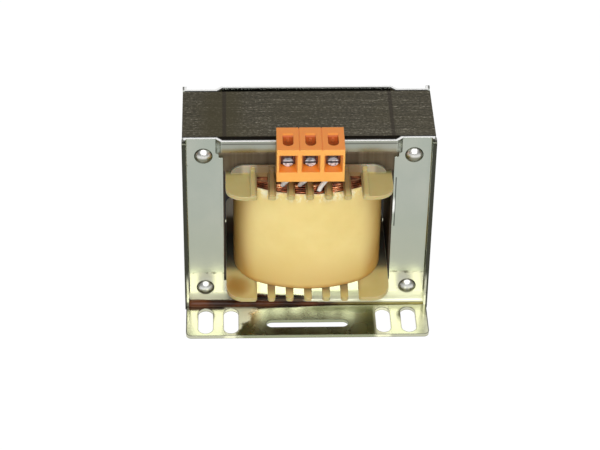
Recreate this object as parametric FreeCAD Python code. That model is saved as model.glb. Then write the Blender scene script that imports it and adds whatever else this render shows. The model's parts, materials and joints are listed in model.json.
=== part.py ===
import FreeCAD, Part
import math
import os

# Open-frame autotransformer with two pressed feet and a three-pole terminal block.
# Millimetres. X runs along the long side, Y from front to back, Z up from the feet.
# The origin is on the mounting surface, under the middle of the core.

# Core
CORE_WIDTH = 96.0
CORE_HEIGHT = 80.0
LIMB = 16.0
CENTRE_LIMB = 32.0
PACK_COUNT = 6
PACK_THICKNESS = 5.0
CORE_LIFT = 1.0
RIVET_HOLE_RADIUS = 2.1

# Pressed frames
SHEET = 1.5
BEND_RADIUS = 2.0
FRAME_OVERHANG = 0.1
OPENING_MARGIN = 0.6
LOWER_BAR_SETBACK = 4.6
TOP_BAR_HEIGHT = 5.0
JOGGLE_DEPTH = 2.0
JOGGLE_RUN = 2.1
JOGGLE_MARGIN = 0.7
JOGGLE_LAP = 0.8
JOGGLE_TAIL = 1.6
RELIEF_WIDTH = 1.6
RELIEF_HEIGHT = 3.5
RELIEF_DROP = 0.4
SIDE_LIP_DEPTH = 3.1
SIDE_LIP_RADIUS = 0.6
LIP_LIFT = 0.2
LIP_CORNER_RADIUS = 1.4
BOW_WIDTH = 0.9
BOW_LENGTH = 23.7
BOW_REACH = 1.1
BOW_RAISE = 9.75
FOOT_REACH = 20.8
FOOT_INSET = 0.3
FOOT_CORNER_RADIUS = 2.2
MOUNT_SLOT_STEP = 10.0
MOUNT_SLOT_WIDTH = 5.8
MOUNT_SLOT_LENGTH = 15.2
MOUNT_SLOT_EDGE = 1.3
MIDDLE_SLOT_LENGTH = 32.2
MIDDLE_SLOT_WIDTH = 4.4
MIDDLE_SLOT_EDGE = 4.8

# Rivets
RIVET_RADIUS = 2.0
RIVET_HEAD_RADIUS = 3.5
RIVET_HEAD_HEIGHT = 2.0

# Bobbin
BOBBIN_CLEARANCE = 0.2
TUBE_WALL = 1.2
FLANGE = 1.6
FLANGE_SIDE_GAP = 0.3
FLANGE_REACH = 18.75
FLANGE_SPLAY = 1.6
FLANGE_CORNER_RADIUS = 7.0
FINGER_PITCH = 7.1
FINGER_WIDTH = 3.0
FINGER_TIP_RADIUS = 1.3
COMB_SLOTS = 6
RIB_WIDTH = 1.8
RIB_TOP_LIFT = 2.0
RIB_TIP_SETBACK = 0.5
UPSTAND_GAP = 0.9
UPSTAND_WALL = 1.0
UPSTAND_HEIGHT = 3.6
UPSTAND_INSET = 2.1
UPSTAND_CORNER = 4.8
UPSTAND_SHOULDER = 3.06
UPSTAND_BULGE_IN = 1.54
UPSTAND_BULGE_DOWN = 0.97
UPSTAND_RIB = 0.8

# Windings, each layer by its thickness at the side, thickness at the front, corner and crown radius
LAYER_GAP = 0.05
INNER_WINDING = (4.6, 4.8, 6.0, 70.0)
INTERLAYER = (0.5, 0.6, 6.4, 68.0)
OUTER_WRAP = (0.7, 0.8, 17.0, 45.0)
OUTER_WINDING_FRONT = 7.1
OUTER_WINDING_CORNER = 16.5
OUTER_WINDING_CROWN = 45.0
WINDING_SIDE_GAP = 3.2
WRAP_EDGE_RADIUS = 1.6
WRAP_END_GAP = 0.25
WRAP_SPLAY_SHARE = 0.8

# Terminal block
POLE_COUNT = 3
POLE_PITCH = 8.4
BLOCK_DEPTH = 14.5
BLOCK_HEIGHT = 14.5
BLOCK_GAP = 1.0
BLOCK_STAND = 6.8
BLOCK_FOOT_DEPTH = 2.7
PEG_DEPTH = 1.8
PEG_DROP = 2.6
PEG_CLEARANCE = 0.2
GROOVE = 0.35
POCKET_MOUTH_WIDTH = 6.9
POCKET_HOLE_WIDTH = 5.5
POCKET_DEPTH = 3.5
POCKET_FLOOR = 4.3
POCKET_MOUTH_HEIGHT = 7.7
POCKET_HOLE_HEIGHT = 5.0
SCREW_AXIS = 6.4
ENTRY_WIDTH = 4.0
ENTRY_BACK = 5.0
ENTRY_LENGTH = 6.8
ENTRY_LOWER_LENGTH = 3.8
ENTRY_UPPER_DEPTH = 2.8
ENTRY_CHAMFER = 1.2
ENTRY_CHAMFER_DROP = 0.8
NIB_WIDTH = 0.8
NIB_REACH = 0.6
NIB_DROP = 0.5

# Clamps inside the terminal block
CAGE_WIDTH = 5.4
CAGE_DEPTH = 6.0
CAGE_HEIGHT = 5.6
CAGE_WALL = 0.8
CAGE_BACK = 2.9
CAGE_CLEARANCE = 0.1
CAGE_HEADROOM = 0.4
CAVITY_FLOOR = 3.4
TAIL_WIDTH = 1.6
TAIL_THICKNESS = 0.6
TAIL_LENGTH = 7.2
SCREW_HEAD_RADIUS = 2.0
SCREW_HEAD_LENGTH = 2.0
SCREW_SHANK_RADIUS = 1.5
SCREW_SHANK_LENGTH = 3.6
SCREW_SLOT_WIDTH = 0.7
SCREW_SLOT_DEPTH = 0.9
THREAD_CLEARANCE = 0.1

# Leads: places chosen along each route, from the winding to its clamp. Each one is measured from the
# comb slot that the lead comes through, and the last from the end of the clamp's tail. The arc at a
# corner takes up a share of the shorter run beside it.
LEAD_WIRE_RADIUS = 0.5
SLEEVE_RADIUS = 0.9
SLEEVE_BORE_RADIUS = 0.62
SOLDER_RADIUS = 1.15
LEAD_SLOTS = (1, 2, 3)
LEAD_ROUTES = (
    ((0.2, -0.7, -9.4), (0.45, -1.0, -5.9), (2.4, -2.6, -2.7), (0.0, -0.7, 0.0)),
    ((-0.4, -0.7, -9.4), (-0.15, -1.0, -5.9), (2.25, -2.6, -2.8), (0.0, -0.7, 0.0)),
    ((-0.05, -4.2, -9.4), (0.05, -4.2, -5.4), (3.05, -3.9, -1.3), (0.0, -0.7, 0.0)),
)
LEAD_END_LIFT = 1.1
LEAD_ARC_SHARE = 0.45
SLEEVE_START_GAP = 0.2
SLEEVE_END_GAP = 1.6

# Varnish that ran into the front bend and set there; each place gives how far the middle of the bead
# lies in front of the plate and below the start of the bend
BEAD_INSET = 1.1
BEAD_THICK_RADIUS = 2.2
BEAD_THIN_RADIUS = 0.9
BEAD_THICK_PLACE = (1.0, 1.6)
BEAD_THIN_PLACE = (0.7, 1.5)

# Places that follow from the sizes above
CORE_HALF_DEPTH = PACK_COUNT * PACK_THICKNESS / 2
CORE_TOP = CORE_LIFT + CORE_HEIGHT
CORE_MIDDLE = CORE_LIFT + CORE_HEIGHT / 2
WINDOW_HALF_HEIGHT = CORE_HEIGHT / 2 - LIMB
WINDOW_HALF_SPAN = CORE_WIDTH / 2 - LIMB
FRAME_HALF_WIDTH = CORE_WIDTH / 2 + FRAME_OVERHANG
FRAME_OPENING_HALF = WINDOW_HALF_SPAN + OPENING_MARGIN
LOWER_BAR_TOP = CORE_LIFT + LIMB - LOWER_BAR_SETBACK
FOOT_HALF_WIDTH = CORE_WIDTH / 2 - FOOT_INSET
RIVET_X = (CORE_WIDTH - LIMB) / 2
RIVET_Z = (CORE_LIFT + LIMB / 2, CORE_TOP - LIMB / 2)
MOUNT_SLOT_PLACES = (RIVET_X, RIVET_X - MOUNT_SLOT_STEP)
PLATE_FRONT = CORE_HALF_DEPTH + SHEET
BEND_START = SHEET + BEND_RADIUS
FOOT_FRONT = PLATE_FRONT + FOOT_REACH
FLANGE_START = CORE_HALF_DEPTH + BOBBIN_CLEARANCE
FLANGE_FRONT = CORE_HALF_DEPTH + FLANGE_REACH
FLANGE_OUTER = WINDOW_HALF_HEIGHT - BOBBIN_CLEARANCE
FLANGE_HALF_WIDTH = WINDOW_HALF_SPAN - FLANGE_SIDE_GAP
UPSTAND_HALF_WIDTH = FLANGE_HALF_WIDTH - UPSTAND_INSET
UPSTAND_FRONT = CORE_HALF_DEPTH + UPSTAND_GAP + UPSTAND_WALL
TUBE_HALF_WIDTH = CENTRE_LIMB / 2 + BOBBIN_CLEARANCE + TUBE_WALL
TUBE_HALF_DEPTH = CORE_HALF_DEPTH + BOBBIN_CLEARANCE + TUBE_WALL
RIB_TOP = FLANGE_OUTER + RIB_TOP_LIFT
BLOCK_BACK = PLATE_FRONT + JOGGLE_DEPTH + BLOCK_GAP
BLOCK_FRONT = BLOCK_BACK + BLOCK_DEPTH
BLOCK_BOTTOM = CORE_MIDDLE + RIB_TOP + BLOCK_STAND
BLOCK_TOP = BLOCK_BOTTOM + BLOCK_HEIGHT
BLOCK_HALF_WIDTH = POLE_COUNT * POLE_PITCH / 2
CAVITY_BOTTOM = BLOCK_BOTTOM + CAVITY_FLOOR
CAGE_BACK_Y = BLOCK_BACK + CAGE_BACK
CAGE_FRONT_Y = CAGE_BACK_Y + CAGE_DEPTH
TAIL_FRONT_Y = CAGE_BACK_Y + TAIL_THICKNESS
TAIL_END_Z = CAVITY_BOTTOM - TAIL_LENGTH
BEAD_HALF_LENGTH = FOOT_HALF_WIDTH - BEAD_INSET
OUTER_WINDING_SIDE = (WINDOW_HALF_SPAN - WINDING_SIDE_GAP - TUBE_HALF_WIDTH
                      - INNER_WINDING[0] - INTERLAYER[0] - OUTER_WRAP[0])
OUTER_WINDING = (OUTER_WINDING_SIDE, OUTER_WINDING_FRONT, OUTER_WINDING_CORNER, OUTER_WINDING_CROWN)
BEYOND = 1.1 * (CORE_WIDTH + CORE_HEIGHT + FOOT_FRONT)
COMB_PLACES = [(i - (COMB_SLOTS - 1) / 2) * FINGER_PITCH for i in range(COMB_SLOTS)]
POLE_PLACES = [(i - (POLE_COUNT - 1) / 2) * POLE_PITCH for i in range(POLE_COUNT)]


def vec(x, y, z):
    return FreeCAD.Vector(x, y, z)


def box(x0, x1, y0, y1, z0, z1):
    low = vec(min(x0, x1), min(y0, y1), min(z0, z1))
    return Part.makeBox(abs(x1 - x0), abs(y1 - y0), abs(z1 - z0), low)


def prism(points, direction):
    """Solid made by pushing the closed outline through points along direction."""
    outline = Part.makePolygon(points + points[:1])
    return Part.Face(outline).extrude(direction)


def mirror_y(shape):
    return shape.mirror(vec(0, 0, 0), vec(0, 1, 0))


def mirror_middle(shape):
    """Mirror about the level through the middle of the core."""
    return shape.mirror(vec(0, 0, CORE_MIDDLE), vec(0, 0, 1))


def merge(shapes):
    result = shapes[0]
    for shape in shapes[1:]:
        result = result.fuse(shape)
    return result.removeSplitter()


def fillet_where(shape, radius, test):
    edges = [e for e in shape.Edges if test(e)]
    return shape.makeFillet(radius, edges)


def along_z(edge):
    box_size = edge.BoundBox
    return box_size.XLength < 1e-3 and box_size.YLength < 1e-3


# Core: packs of E and I laminations, turned about in alternate packs

def rivet_holes(solid, level, y0, y1):
    for x in (-RIVET_X, RIVET_X):
        hole = Part.makeCylinder(RIVET_HOLE_RADIUS, abs(y1 - y0), vec(x, min(y0, y1), level), vec(0, 1, 0))
        solid = solid.cut(hole)
    return solid


def e_pack(y0, yoke_up):
    y1 = y0 + PACK_THICKNESS
    half = CORE_WIDTH / 2
    low, high = CORE_LIFT + LIMB, CORE_TOP
    body = box(-half, half, y0, y1, low, high)
    for x in (-half + LIMB, CENTRE_LIMB / 2):
        window = box(x, x + (CORE_WIDTH - 2 * LIMB - CENTRE_LIMB) / 2, y0, y1, low, high - LIMB)
        body = body.cut(window)
    body = rivet_holes(body, RIVET_Z[1], y0, y1)
    return body if yoke_up else mirror_middle(body)


def i_pack(y0, at_bottom):
    y1 = y0 + PACK_THICKNESS
    half = CORE_WIDTH / 2
    body = box(-half, half, y0, y1, CORE_LIFT, CORE_LIFT + LIMB)
    body = rivet_holes(body, RIVET_Z[0], y0, y1)
    return body if at_bottom else mirror_middle(body)


# Pressed frame with its foot; the rear one is the mirror image of the front one

def joggled_bar():
    """Top bar stepped away from the core between two short ramps."""
    run, step = FRAME_OPENING_HALF + JOGGLE_MARGIN, JOGGLE_DEPTH
    back = CORE_HALF_DEPTH
    front = PLATE_FRONT
    lean = SHEET * math.tan(math.atan2(step, JOGGLE_RUN) / 2)
    end = run + JOGGLE_RUN + JOGGLE_LAP
    right = [(end, -back), (run + JOGGLE_RUN - lean, -back), (run - lean, -back - step)]
    right_front = [(run, -front - step), (run + JOGGLE_RUN, -front), (end, -front)]
    points = right + [(-x, y) for x, y in reversed(right)]
    points += [(-x, y) for x, y in reversed(right_front)]
    points += right_front
    low = CORE_TOP - TOP_BAR_HEIGHT - JOGGLE_TAIL
    bar = prism([vec(x, y, low) for x, y in points], vec(0, 0, CORE_TOP - low))
    opening = box(-run, run, 0, -FOOT_FRONT, low, CORE_TOP - TOP_BAR_HEIGHT)
    return bar.cut(opening), end, low


def side_lip(side):
    """Stiffening lip bent forward along the outer edge of a column."""
    outer = FRAME_HALF_WIDTH
    front = PLATE_FRONT + SIDE_LIP_DEPTH
    low = LIP_LIFT
    bend_x, bend_y = outer - SHEET - SIDE_LIP_RADIUS, -PLATE_FRONT - SIDE_LIP_RADIUS
    height = CORE_TOP - low
    leg = box(outer - SHEET, outer, bend_y, -front, low, CORE_TOP)
    leg = fillet_where(leg, LIP_CORNER_RADIUS,
                       lambda e: e.BoundBox.YMax < -front + 0.01 and e.BoundBox.ZMin > CORE_TOP - 0.01)
    axis = vec(bend_x, bend_y, low)
    bend = Part.makeCylinder(SHEET + SIDE_LIP_RADIUS, height, axis)
    bend = bend.cut(Part.makeCylinder(SIDE_LIP_RADIUS, height, axis))
    bend = bend.common(box(bend_x, outer, bend_y, -CORE_HALF_DEPTH, low, CORE_TOP))
    lip = leg.fuse(bend)
    return lip if side > 0 else lip.mirror(vec(0, 0, 0), vec(1, 0, 0))


def web():
    """Upright face of the frame: two columns and the lower bar."""
    edge = FRAME_HALF_WIDTH - SHEET - SIDE_LIP_RADIUS
    plate = box(-edge, edge, -CORE_HALF_DEPTH, -PLATE_FRONT, BEND_START, CORE_TOP)
    opening = box(-FRAME_OPENING_HALF, FRAME_OPENING_HALF, 0, -FOOT_FRONT, LOWER_BAR_TOP,
                  CORE_TOP - TOP_BAR_HEIGHT)
    return plate.cut(opening)


def bowed_edge(side):
    """Narrow strip of a column's inner edge, half sheared and bowed forward."""
    x, middle = FRAME_OPENING_HALF, CORE_MIDDLE + BOW_RAISE
    low, high = middle - BOW_LENGTH / 2, middle + BOW_LENGTH / 2
    edges = []
    for y in (-PLATE_FRONT, -CORE_HALF_DEPTH):
        edges.append(Part.Arc(vec(x, y, low), vec(x, y - BOW_REACH, middle), vec(x, y, high)).toShape())
    for z in (low, high):
        edges.append(Part.makeLine(vec(x, -PLATE_FRONT, z), vec(x, -CORE_HALF_DEPTH, z)))
    strip = Part.Face(Part.Wire(Part.__sortEdges__(edges))).extrude(vec(BOW_WIDTH, 0, 0))
    room = box(x, x + BOW_WIDTH, 0, -FOOT_FRONT, low, high)
    if side < 0:
        strip, room = [shape.mirror(vec(0, 0, 0), vec(1, 0, 0)) for shape in (strip, room)]
    return strip, room


def relief(side):
    """Small cut at the upper corner of the opening, where the bar steps forward."""
    top = CORE_TOP - TOP_BAR_HEIGHT - RELIEF_DROP
    x0 = side * (FRAME_OPENING_HALF - RELIEF_WIDTH)
    x1 = side * (FRAME_OPENING_HALF + RELIEF_WIDTH)
    return box(x0, x1, 0, -FOOT_FRONT, top - RELIEF_HEIGHT, top)


def slot(x, y, length, width, along_x):
    """Through slot in the foot with round ends, centred on x and y."""
    radius = width / 2
    straight = length / 2 - radius
    step_x, step_y = (straight, 0) if along_x else (0, straight)
    side_x, side_y = (straight, radius) if along_x else (radius, straight)
    middle = box(x - side_x, x + side_x, y - side_y, y + side_y, 0, SHEET)
    rounds = [Part.makeCylinder(radius, SHEET, vec(x + way * step_x, y + way * step_y, 0))
              for way in (-1, 1)]
    return merge([middle] + rounds)


def foot():
    bend_y = -PLATE_FRONT - BEND_RADIUS
    plate = box(-FOOT_HALF_WIDTH, FOOT_HALF_WIDTH, bend_y, -FOOT_FRONT, 0, SHEET)
    plate = fillet_where(plate, FOOT_CORNER_RADIUS,
                         lambda e: along_z(e) and e.BoundBox.YMax < -FOOT_FRONT + 0.01)
    centre = -FOOT_FRONT + MOUNT_SLOT_EDGE + MOUNT_SLOT_LENGTH / 2
    for place in MOUNT_SLOT_PLACES:
        for x in (-place, place):
            plate = plate.cut(slot(x, centre, MOUNT_SLOT_LENGTH, MOUNT_SLOT_WIDTH, False))
    middle_line = -FOOT_FRONT + MIDDLE_SLOT_EDGE + MIDDLE_SLOT_WIDTH / 2
    plate = plate.cut(slot(0, middle_line, MIDDLE_SLOT_LENGTH, MIDDLE_SLOT_WIDTH, True))
    axis = vec(-FOOT_HALF_WIDTH, bend_y, BEND_START)
    outer = Part.makeCylinder(BEND_START, 2 * FOOT_HALF_WIDTH, axis, vec(1, 0, 0))
    inner = Part.makeCylinder(BEND_RADIUS, 2 * FOOT_HALF_WIDTH, axis, vec(1, 0, 0))
    quarter = box(-FOOT_HALF_WIDTH, FOOT_HALF_WIDTH, bend_y, -CORE_HALF_DEPTH, 0, BEND_START)
    return [plate, outer.cut(inner).common(quarter)]


def frame():
    bar, bar_end, ramp_low = joggled_bar()
    upright = web().cut(box(-bar_end, bar_end, 0, -FOOT_FRONT, ramp_low, CORE_TOP))
    solid = merge([upright, bar, side_lip(-1), side_lip(1)] + foot())
    for side in (-1, 1):
        strip, room = bowed_edge(side)
        solid = solid.cut(relief(side)).cut(room).fuse(strip)
    for level in RIVET_Z:
        solid = rivet_holes(solid, level, -PLATE_FRONT, 0)
    return solid.removeSplitter()


def rivet(x, z):
    """Rivet through both frames and the core, with a domed head at each end."""
    shank = Part.makeCylinder(RIVET_RADIUS, 2 * PLATE_FRONT, vec(x, -PLATE_FRONT, z), vec(0, 1, 0))
    height, radius = RIVET_HEAD_HEIGHT, RIVET_HEAD_RADIUS
    ball = (radius * radius + height * height) / (2 * height)
    centre = -PLATE_FRONT - height + ball
    dome = Part.makeSphere(ball, vec(x, centre, z))
    front = dome.common(box(x - radius, x + radius, -PLATE_FRONT - height, -PLATE_FRONT,
                            z - radius, z + radius))
    return merge([shank, front, mirror_y(front)])


# Bobbin

def flange_slope(offset):
    """Outline in the Y-Z plane of the upper flange's outer face, lowered by offset."""
    level = CORE_MIDDLE + FLANGE_OUTER - offset
    return [(-FLANGE_FRONT, level + FLANGE_SPLAY), (-FLANGE_START, level),
            (FLANGE_START, level), (FLANGE_FRONT, level + FLANGE_SPLAY)]


def slope_prism(lower, upper, half_width):
    """Everything between two outlines in the Y-Z plane, across half_width each way."""
    points = [vec(-half_width, y, z) for y, z in lower + upper[::-1]]
    return prism(points, vec(2 * half_width, 0, 0))


def comb_plan():
    """Flange outline with its comb of open slots at front and back, as a tall block."""
    low, high = CORE_MIDDLE, CORE_TOP + LIMB
    plan = box(-FLANGE_HALF_WIDTH, FLANGE_HALF_WIDTH, -FLANGE_FRONT, FLANGE_FRONT, low, high)
    plan = fillet_where(plan, FLANGE_CORNER_RADIUS, along_z)
    slot_width = FINGER_PITCH - FINGER_WIDTH
    for x in COMB_PLACES:
        gap = box(x - slot_width / 2, x + slot_width / 2, -UPSTAND_FRONT, -FLANGE_FRONT, low, high)
        plan = plan.cut(gap).cut(mirror_y(gap))
    comb_edge = COMB_SLOTS * FINGER_PITCH / 2
    return fillet_where(plan, FINGER_TIP_RADIUS, lambda e: along_z(e)
                        and abs(abs(e.BoundBox.YMax) - FLANGE_FRONT) < 0.01
                        and abs(e.BoundBox.XMax) < comb_edge)


def upstand():
    """Low wall on the flange, just in front of the yoke, with rounded shoulders."""
    y0 = -CORE_HALF_DEPTH - UPSTAND_GAP
    base = CORE_MIDDLE + FLANGE_OUTER - FLANGE / 2
    top = CORE_MIDDLE + FLANGE_OUTER + UPSTAND_HEIGHT
    edge, corner = UPSTAND_HALF_WIDTH, UPSTAND_CORNER
    shoulder = top - UPSTAND_SHOULDER
    bulge = vec(edge - UPSTAND_BULGE_IN, y0, top - UPSTAND_BULGE_DOWN)
    right = Part.Arc(vec(edge, y0, shoulder), bulge, vec(edge - corner, y0, top)).toShape()
    left = right.mirror(vec(0, 0, 0), vec(1, 0, 0))
    lines = [Part.makeLine(vec(-edge, y0, base), vec(edge, y0, base)),
             Part.makeLine(vec(edge, y0, base), vec(edge, y0, shoulder)),
             right,
             Part.makeLine(vec(edge - corner, y0, top), vec(corner - edge, y0, top)),
             left,
             Part.makeLine(vec(-edge, y0, shoulder), vec(-edge, y0, base))]
    outline = Part.Wire(Part.__sortEdges__(lines))
    return Part.Face(outline).extrude(vec(0, -UPSTAND_WALL, 0))


def comb_ribs():
    """Ribs along the comb's fingers, each running up the front of the upstand."""
    middle = flange_slope(FLANGE / 2)
    upstand_top = CORE_MIDDLE + FLANGE_OUTER + UPSTAND_HEIGHT
    over = [(y, upstand_top) for y, z in middle]
    above_flange = slope_prism(middle, over, FLANGE_HALF_WIDTH)
    wall_front = -UPSTAND_FRONT
    ribs = []
    for i in range(COMB_SLOTS + 1):
        x = (i - COMB_SLOTS / 2) * FINGER_PITCH
        x0, x1 = x - RIB_WIDTH / 2, x + RIB_WIDTH / 2
        rib = box(x0, x1, wall_front, -FLANGE_FRONT + RIB_TIP_SETBACK, CORE_MIDDLE, CORE_MIDDLE + RIB_TOP)
        riser = box(x0, x1, wall_front, wall_front - UPSTAND_RIB, CORE_MIDDLE, upstand_top)
        ribs.append(rib.fuse(riser).common(above_flange))
    return ribs


def bobbin():
    plate = slope_prism(flange_slope(FLANGE), flange_slope(0), FLANGE_HALF_WIDTH)
    details = [upstand()] + comb_ribs()
    flange = merge([plate.common(comb_plan())] + details + [mirror_y(d) for d in details])
    level = CORE_MIDDLE - FLANGE_OUTER
    tube = box(-TUBE_HALF_WIDTH, TUBE_HALF_WIDTH, -TUBE_HALF_DEPTH, TUBE_HALF_DEPTH, level,
               level + 2 * FLANGE_OUTER)
    body = merge([flange, mirror_middle(flange), tube])
    bore_x = CENTRE_LIMB / 2 + BOBBIN_CLEARANCE
    bore = box(-bore_x, bore_x, -FLANGE_START, FLANGE_START, 0, CORE_TOP + LIMB)
    return body.cut(bore).removeSplitter()


# Windings

def ring_outline(half_width, reach, corner, crown, level):
    """Closed outline with crowned front and back, round corners and straight sides."""
    crown_y = crown - reach
    corner_x = half_width - corner
    corner_y = crown_y - math.sqrt((crown - corner) ** 2 - corner_x ** 2)
    lean = math.atan2(corner_x, crown_y - corner_y)
    joint = vec(crown * math.sin(lean), crown_y - crown * math.cos(lean), level)
    half_turn = (math.pi / 2 + lean) / 2
    bulge = vec(corner_x + corner * math.sin(half_turn), corner_y - corner * math.cos(half_turn), level)
    front = Part.Arc(vec(-joint.x, joint.y, level), vec(0, -reach, level), joint).toShape()
    right = Part.Arc(joint, bulge, vec(half_width, corner_y, level)).toShape()
    left = right.mirror(vec(0, 0, 0), vec(1, 0, 0))
    edges = [front, right, left]
    edges += [mirror_y(e) for e in edges]
    for x in (-half_width, half_width):
        edges.append(Part.makeLine(vec(x, corner_y, level), vec(x, -corner_y, level)))
    return Part.Face(Part.Wire(Part.__sortEdges__(edges)))


def layer_outside(*layers):
    """Half width, reach, corner and crown radius round the tube and the layers named."""
    half_width = TUBE_HALF_WIDTH + sum(layer[0] for layer in layers)
    reach = TUBE_HALF_DEPTH + sum(layer[1] for layer in layers)
    return half_width, reach, layers[-1][2], layers[-1][3]


def grown(ring):
    """The same outline moved out by the gap between two layers."""
    return tuple(size + LAYER_GAP for size in ring)


def coil_space():
    """Room for the windings between the inner faces of the two flanges."""
    upper = flange_slope(FLANGE + LAYER_GAP)
    lower = [(y, 2 * CORE_MIDDLE - z) for y, z in upper]
    return slope_prism(lower, upper, FLANGE_HALF_WIDTH)


def full_ring(ring):
    high = CORE_MIDDLE + WINDOW_HALF_HEIGHT
    low = CORE_MIDDLE - WINDOW_HALF_HEIGHT
    return ring_outline(*ring, low).extrude(vec(0, 0, high - low))


def tube_block():
    gap = LAYER_GAP
    return box(-TUBE_HALF_WIDTH - gap, TUBE_HALF_WIDTH + gap, -TUBE_HALF_DEPTH - gap,
               TUBE_HALF_DEPTH + gap, 0, CORE_TOP)


def winding(ring, inside):
    return full_ring(ring).cut(inside).common(coil_space())


def outer_wrap():
    """Tape round the windings, with softly rounded upper and lower edges."""
    half = WINDOW_HALF_HEIGHT - BOBBIN_CLEARANCE - FLANGE + FLANGE_SPLAY * WRAP_SPLAY_SHARE - WRAP_END_GAP
    inside = layer_outside(INNER_WINDING, INTERLAYER, OUTER_WINDING)
    outside = layer_outside(INNER_WINDING, INTERLAYER, OUTER_WINDING, OUTER_WRAP)
    body = ring_outline(*outside, CORE_MIDDLE - half).extrude(vec(0, 0, 2 * half))
    body = fillet_where(body, WRAP_EDGE_RADIUS, lambda e: e.BoundBox.ZLength < 1e-3)
    return body.cut(full_ring(grown(inside))).common(coil_space())


# Terminal block

def entry_outline(x, length, level, drop):
    """D-shaped wire entry: flat at the back, half round towards the front."""
    radius = ENTRY_WIDTH / 2
    back = -BLOCK_BACK - ENTRY_BACK
    centre = back - length + radius
    straight = box(x - radius, x + radius, back, centre, level - drop, level)
    return straight.fuse(Part.makeCylinder(radius, drop, vec(x, centre, level - drop)))


def pocket(x):
    """Funnel for the screwdriver, from its mouth in the front to the square hole over the screw."""
    floor = BLOCK_BOTTOM + POCKET_FLOOR
    rings = []
    for y, width, height in ((-BLOCK_FRONT, POCKET_MOUTH_WIDTH, POCKET_MOUTH_HEIGHT),
                             (-BLOCK_FRONT + POCKET_DEPTH, POCKET_HOLE_WIDTH, POCKET_HOLE_HEIGHT)):
        half = width / 2
        corners = [vec(x - half, y, floor), vec(x + half, y, floor),
                   vec(x + half, y, floor + height), vec(x - half, y, floor + height)]
        rings.append(Part.makePolygon(corners + corners[:1]))
    funnel = Part.makeLoft(rings, True, True)
    half = POCKET_HOLE_WIDTH / 2
    hole = box(x - half, x + half, -BLOCK_FRONT + POCKET_DEPTH, -CAGE_FRONT_Y, floor,
               floor + POCKET_HOLE_HEIGHT)
    return funnel.fuse(hole)


def pole_cavity(x):
    """Room for one clamp, with the narrow way out for its solder tail."""
    half = CAGE_WIDTH / 2 + CAGE_CLEARANCE
    room = box(x - half, x + half, -CAGE_BACK_Y + CAGE_CLEARANCE, -CAGE_FRONT_Y - CAGE_CLEARANCE,
               CAVITY_BOTTOM, CAVITY_BOTTOM + CAGE_HEIGHT + CAGE_HEADROOM)
    tail = TAIL_WIDTH / 2 + CAGE_CLEARANCE
    way = box(x - tail, x + tail, -CAGE_BACK_Y + CAGE_CLEARANCE,
              -CAGE_BACK_Y - TAIL_THICKNESS - CAGE_CLEARANCE, BLOCK_BOTTOM, CAVITY_BOTTOM)
    lower_top = BLOCK_TOP - ENTRY_UPPER_DEPTH
    drop = lower_top - CAVITY_BOTTOM - CAGE_HEIGHT - CAGE_HEADROOM
    lower = entry_outline(x, ENTRY_LOWER_LENGTH, lower_top, drop)
    return room.fuse(way).fuse(lower)


def entry(x):
    """Upper part of the wire entry, with its bevelled back edge and a small nib."""
    back = -BLOCK_BACK - ENTRY_BACK
    half = ENTRY_WIDTH / 2
    hole = entry_outline(x, ENTRY_LENGTH, BLOCK_TOP, ENTRY_UPPER_DEPTH)
    bevel = prism([vec(x - half, back + ENTRY_CHAMFER, BLOCK_TOP), vec(x - half, back, BLOCK_TOP),
                   vec(x - half, back, BLOCK_TOP - ENTRY_CHAMFER_DROP)], vec(ENTRY_WIDTH, 0, 0))
    nib = box(x - NIB_WIDTH / 2, x + NIB_WIDTH / 2, back, back - NIB_REACH,
              BLOCK_TOP - ENTRY_UPPER_DEPTH, BLOCK_TOP - ENTRY_CHAMFER_DROP - NIB_DROP)
    return hole.cut(nib).fuse(bevel)


def terminal_housing():
    half = BLOCK_HALF_WIDTH
    body = box(-half, half, -BLOCK_BACK, -BLOCK_FRONT, BLOCK_BOTTOM, BLOCK_TOP)
    seat = CORE_MIDDLE + RIB_TOP
    stand = box(-half, half, -BLOCK_BACK, -BLOCK_BACK - BLOCK_FOOT_DEPTH, seat, BLOCK_BOTTOM)
    pegs = []
    peg_half = (FINGER_PITCH - FINGER_WIDTH) / 2 - PEG_CLEARANCE
    for side in (-1, 1):
        x = side * POLE_COUNT / 2 * FINGER_PITCH
        pegs.append(box(x - peg_half, x + peg_half, -BLOCK_BACK, -BLOCK_BACK - PEG_DEPTH,
                        seat - PEG_DROP, seat))
    body = merge([body, stand] + pegs)
    for x in POLE_PLACES:
        body = body.cut(pocket(x)).cut(pole_cavity(x)).cut(entry(x))
    for left, right in zip(POLE_PLACES, POLE_PLACES[1:]):
        x = (left + right) / 2
        body = body.cut(box(x - GROOVE / 2, x + GROOVE / 2, -BLOCK_BACK, -BLOCK_FRONT,
                            BLOCK_TOP - GROOVE, BLOCK_TOP))
    return body


def clamp_cage(x):
    """Square metal sleeve with a threaded front wall and a tail to solder to."""
    half = CAGE_WIDTH / 2
    low, high = CAVITY_BOTTOM, CAVITY_BOTTOM + CAGE_HEIGHT
    cage = box(x - half, x + half, -CAGE_BACK_Y, -CAGE_FRONT_Y, low, high)
    cage = cage.cut(box(x - half + CAGE_WALL, x + half - CAGE_WALL, -CAGE_BACK_Y - CAGE_WALL,
                        -CAGE_FRONT_Y + CAGE_WALL, low, high))
    thread = Part.makeCylinder(SCREW_SHANK_RADIUS + THREAD_CLEARANCE, 2 * CAGE_WALL,
                               vec(x, -CAGE_FRONT_Y - CAGE_WALL / 2, BLOCK_BOTTOM + SCREW_AXIS), vec(0, 1, 0))
    tail = box(x - TAIL_WIDTH / 2, x + TAIL_WIDTH / 2, -CAGE_BACK_Y, -CAGE_BACK_Y - TAIL_THICKNESS,
               TAIL_END_Z, low)
    return merge([cage.cut(thread), tail])


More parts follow.
